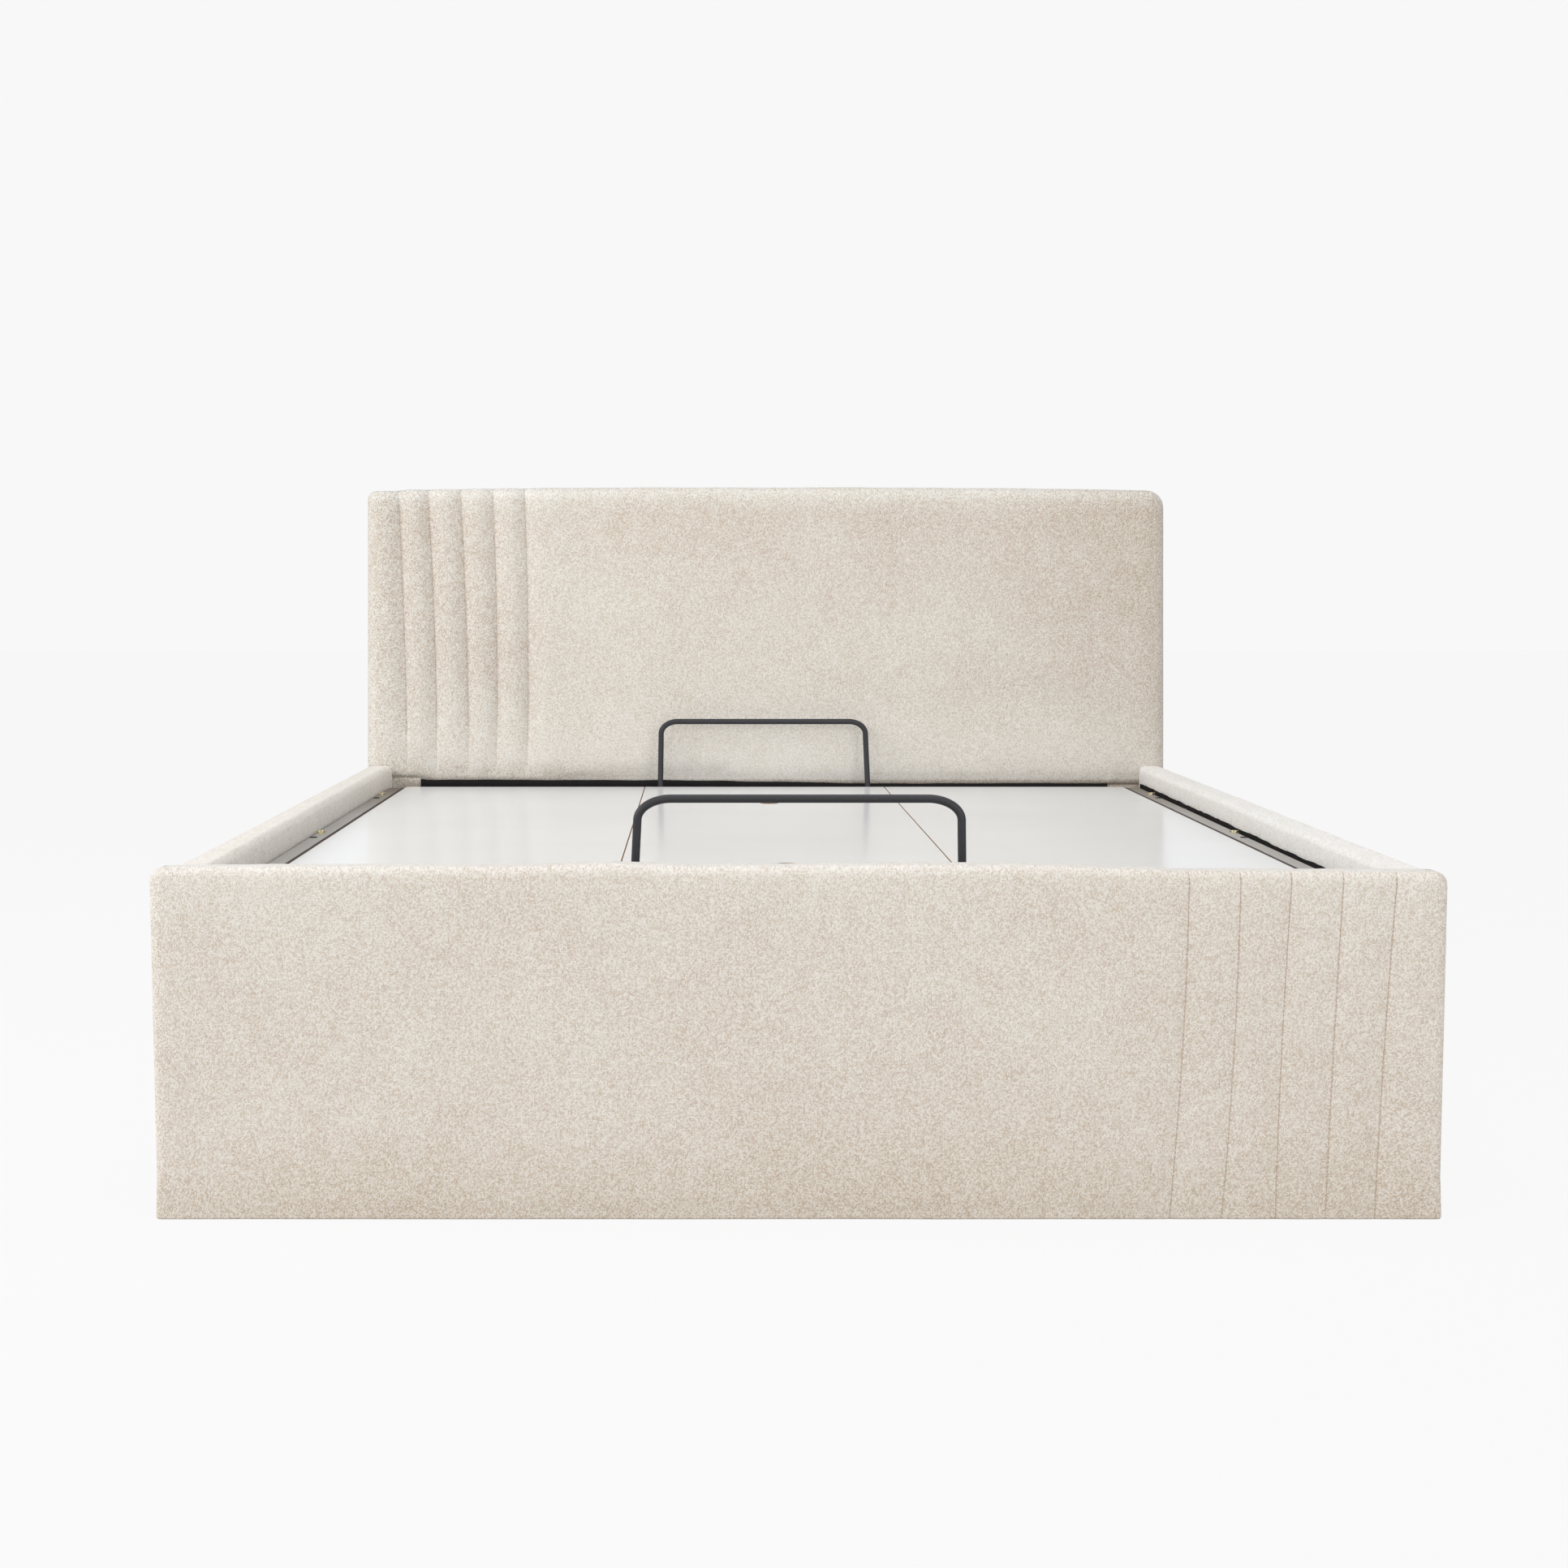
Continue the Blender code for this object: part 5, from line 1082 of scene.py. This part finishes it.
black_tones = ((0.020, 0.020, 0.023), (0.040, 0.040, 0.046))
black_steel = grained("black_powder_coat", 0.0009, black_tones, 0.00015, gloss=(0.42, 0.25), Specular_IOR_Level=0.28)
give(black_steel, *pairs("retainer_clamp_head", "retainer_clamp_foot"))
ROD_RADIUS, ROD_LOW = 0.0056, 0.369
ROD_END, ROD_BEND = 0.060, 0.012  # length of the rods' ends under the boards, and the bend up from them


def retainer_route(end_y, outward, top_z, wide, tall, half, shift):
    """The centre line of a bent rod: from under the boards up past their end, across and down again.

    wide and tall are the half axes of its upper bends, half is half its width at the boards' top, and above its
    ends the rod stands shift to the side.
    """
    rod_y, lean = end_y + outward * 0.006, tan(radians(1.6))

    def leg_x(z):
        return half - (z - BOARD_TOP) * lean

    leg = [(leg_x(ROD_LOW), rod_y - outward * ROD_END, ROD_LOW)]
    for step in range(9):
        angle = radians(90) * step / 8
        z = ROD_LOW + ROD_BEND * (1 - cos(angle))
        leg.append((leg_x(z), rod_y - outward * ROD_BEND * (1 - sin(angle)), z))
    corner_x = leg_x(top_z - tall) - wide
    for step in range(25):
        angle = radians(90) * step / 24
        leg.append((corner_x + wide * cos(angle), rod_y, top_z - tall + tall * sin(angle)))
    route = leg + [(-x, y, z) for x, y, z in reversed(leg)]
    return [(x + shift * min((z - ROD_LOW) / 0.060, 1.0), y, z) for x, y, z in route]


def bent_rod(name, route):
    """A round rod along a route."""
    places = [Vector(point) for point in route]
    rings, normal = [], Vector((0, 0, 1))
    for index, place in enumerate(places):
        before, after = places[max(index - 1, 0)], places[min(index + 1, len(places) - 1)]
        along = (after - before).normalized()
        normal = (normal - along * normal.dot(along)).normalized()
        sideways = along.cross(normal)
        rings.append([tuple(place + ROD_RADIUS * (normal * up + sideways * out)) for up, out in circle(1.0, 16)])
    return swept(name, rings, angle=45, material=black_steel)


RETAINERS = {
    "head": dict(end_y=0.945, outward=1, top_z=0.530, wide=0.034, tall=0.025, half=0.2134, shift=-0.0024),
    "foot": dict(end_y=-0.980, outward=-1, top_z=0.5288, wide=0.044, tall=0.028, half=0.2145, shift=0.0029),
}
for end, bend in RETAINERS.items():
    rod = bent_rod("retainer_rod_" + end, retainer_route(**bend))
    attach(rod, "platform")
    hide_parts("retainer_" + end)


# Gas strut cylinders: drawn steel tube with the retainers' black coat, crimped at the gland.
# Each is welded to its lower eye, which turns on the stud of the anchor.

def turned(name, body, material):
    """A copy of a turned solid with its faces shaded as the round ones they stand for."""
    mesh = NODES[name].data.copy()
    smoothed(mesh, lambda shell: bmesh.ops.remove_doubles(shell, verts=shell.verts, dist=0.00001), 32, material)
    piece = linked("turned_" + name, mesh)
    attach(piece, body)
    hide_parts(name)
    return piece


for side in SIDES:
    tube = turned("strut_cylinder_" + side, "strut_tube_" + side, black_steel)


# Strut rods: steel with hard chrome, ground and polished, each with its upper eye.
# They slide out of the cylinders through the gland as the platform rises.

chrome_tones = ((0.60, 0.60, 0.61), (0.72, 0.72, 0.73))
chrome = grained("polished_rod", 0.0006, chrome_tones, detail=1.0, gloss=(0.12, 0.08), Metallic=1.0)
for side in SIDES:
    piston = turned("strut_rod_" + side, "strut_piston_" + side, chrome)


# Glides: low round pads of black moulded plastic under the panels and the beam.
# Each is held by a nail, and keeps the timber off the floor.

glide = grained("glide_plastic", 0.0015, ((0.02, 0.02, 0.02), (0.05, 0.05, 0.05)), height=0.0001, Roughness=0.5)
give(glide, *pairs("glide_head", "glide_foot"), "glide_beam_front", "glide_beam_rear")


# Studio: a floor of white paper and an even white room, with five soft square lamps: one like a window at the left,
# one ahead at each side, one straight ahead and one above. The floor shows the background's white to the camera and
# keeps part of the bed's shadow.

floor_mesh = mesh_of("studio_floor", [(-30, -30, 0), (30, -30, 0), (30, 30, 0), (-30, 30, 0)], [(0, 1, 2, 3)])
floor = linked("studio_floor", floor_mesh)
paper = Finish("studio_floor", Base_Color=(0.86, 0.86, 0.86, 1), Roughness=0.9, Specular_IOR_Level=0.0)
bright = paper.node("Emission", {}, {"Color": (0.955, 0.955, 0.955, 1), "Strength": 1.0})
ray = paper.node("LightPath", {}, {}, "Is Camera Ray")
lit = Field(paper, paper.shader.outputs[0])
shown = paper.node("MixShader", {}, {0: ray * 0.955, 1: lit, 2: bright})
paper.tree.links.new(shown.socket, paper.tree.nodes["Material Output"].inputs["Surface"])
floor_mesh.materials.append(paper.material)
floor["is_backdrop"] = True

world = bpy.data.worlds.new("studio")
bpy.context.scene.world = world
world.use_nodes = True
room = world.node_tree
dim = room.nodes["Background"]
dim.inputs["Color"].default_value = (1.0, 1.0, 1.0, 1.0)
dim.inputs["Strength"].default_value = 0.42
seen = add_node(room, "ShaderNodeBackground", {}, {"Color": (0.939, 0.939, 0.939, 1.0)})
path = add_node(room, "ShaderNodeLightPath", {}, {})
rays = {0: path["Is Camera Ray"], 1: path["Is Glossy Ray"]}
either = add_node(room, "ShaderNodeMath", {"operation": "MAXIMUM"}, rays)
mixed = add_node(room, "ShaderNodeMixShader", {}, {0: either[0], 1: dim.outputs[0], 2: seen[0]})
room.links.new(mixed[0], room.nodes["World Output"].inputs["Surface"])

for name, place, target, size, power in (
    ("window_light", (-4.2, -1.2, 2.4), (0.0, 0.2, 0.5), 2.4, 92),
    ("left_light", (-3.6, -5.0, 2.7), (0.15, 0.2, 0.45), 2.4, 53),
    ("right_light", (2.8, -4.6, 1.6), (0.0, -0.4, 0.5), 2.4, 50),
    ("front_light", (0.0, -5.5, 3.2), (0.0, 0.0, 0.5), 2.4, 30),
    ("ceiling_light", (0.2, -0.9, 3.8), (0.0, 0.0, 0.0), 3.2, 48),
):
    lamp = bpy.data.lights.new(name, "AREA")
    lamp.shape, lamp.size, lamp.energy = "SQUARE", size, power
    softbox = linked(name, lamp)
    softbox.location = place
    softbox.rotation_euler = (Vector(target) - Vector(place)).to_track_quat("-Z", "Y").to_euler()

lens = bpy.data.cameras.new("photo_camera")
lens.sensor_width, lens.lens = 36.0, 58.83
lens.shift_x, lens.shift_y = 0.0487, -0.1237
lens.clip_end = 100.0
camera = linked("photo_camera", lens)
camera.location = (-0.117, -4.329, 0.801)
camera.rotation_euler = (radians(90), 0, 0)
bpy.context.scene.camera = camera
bpy.context.scene.view_settings.view_transform = "Standard"

low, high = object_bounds()
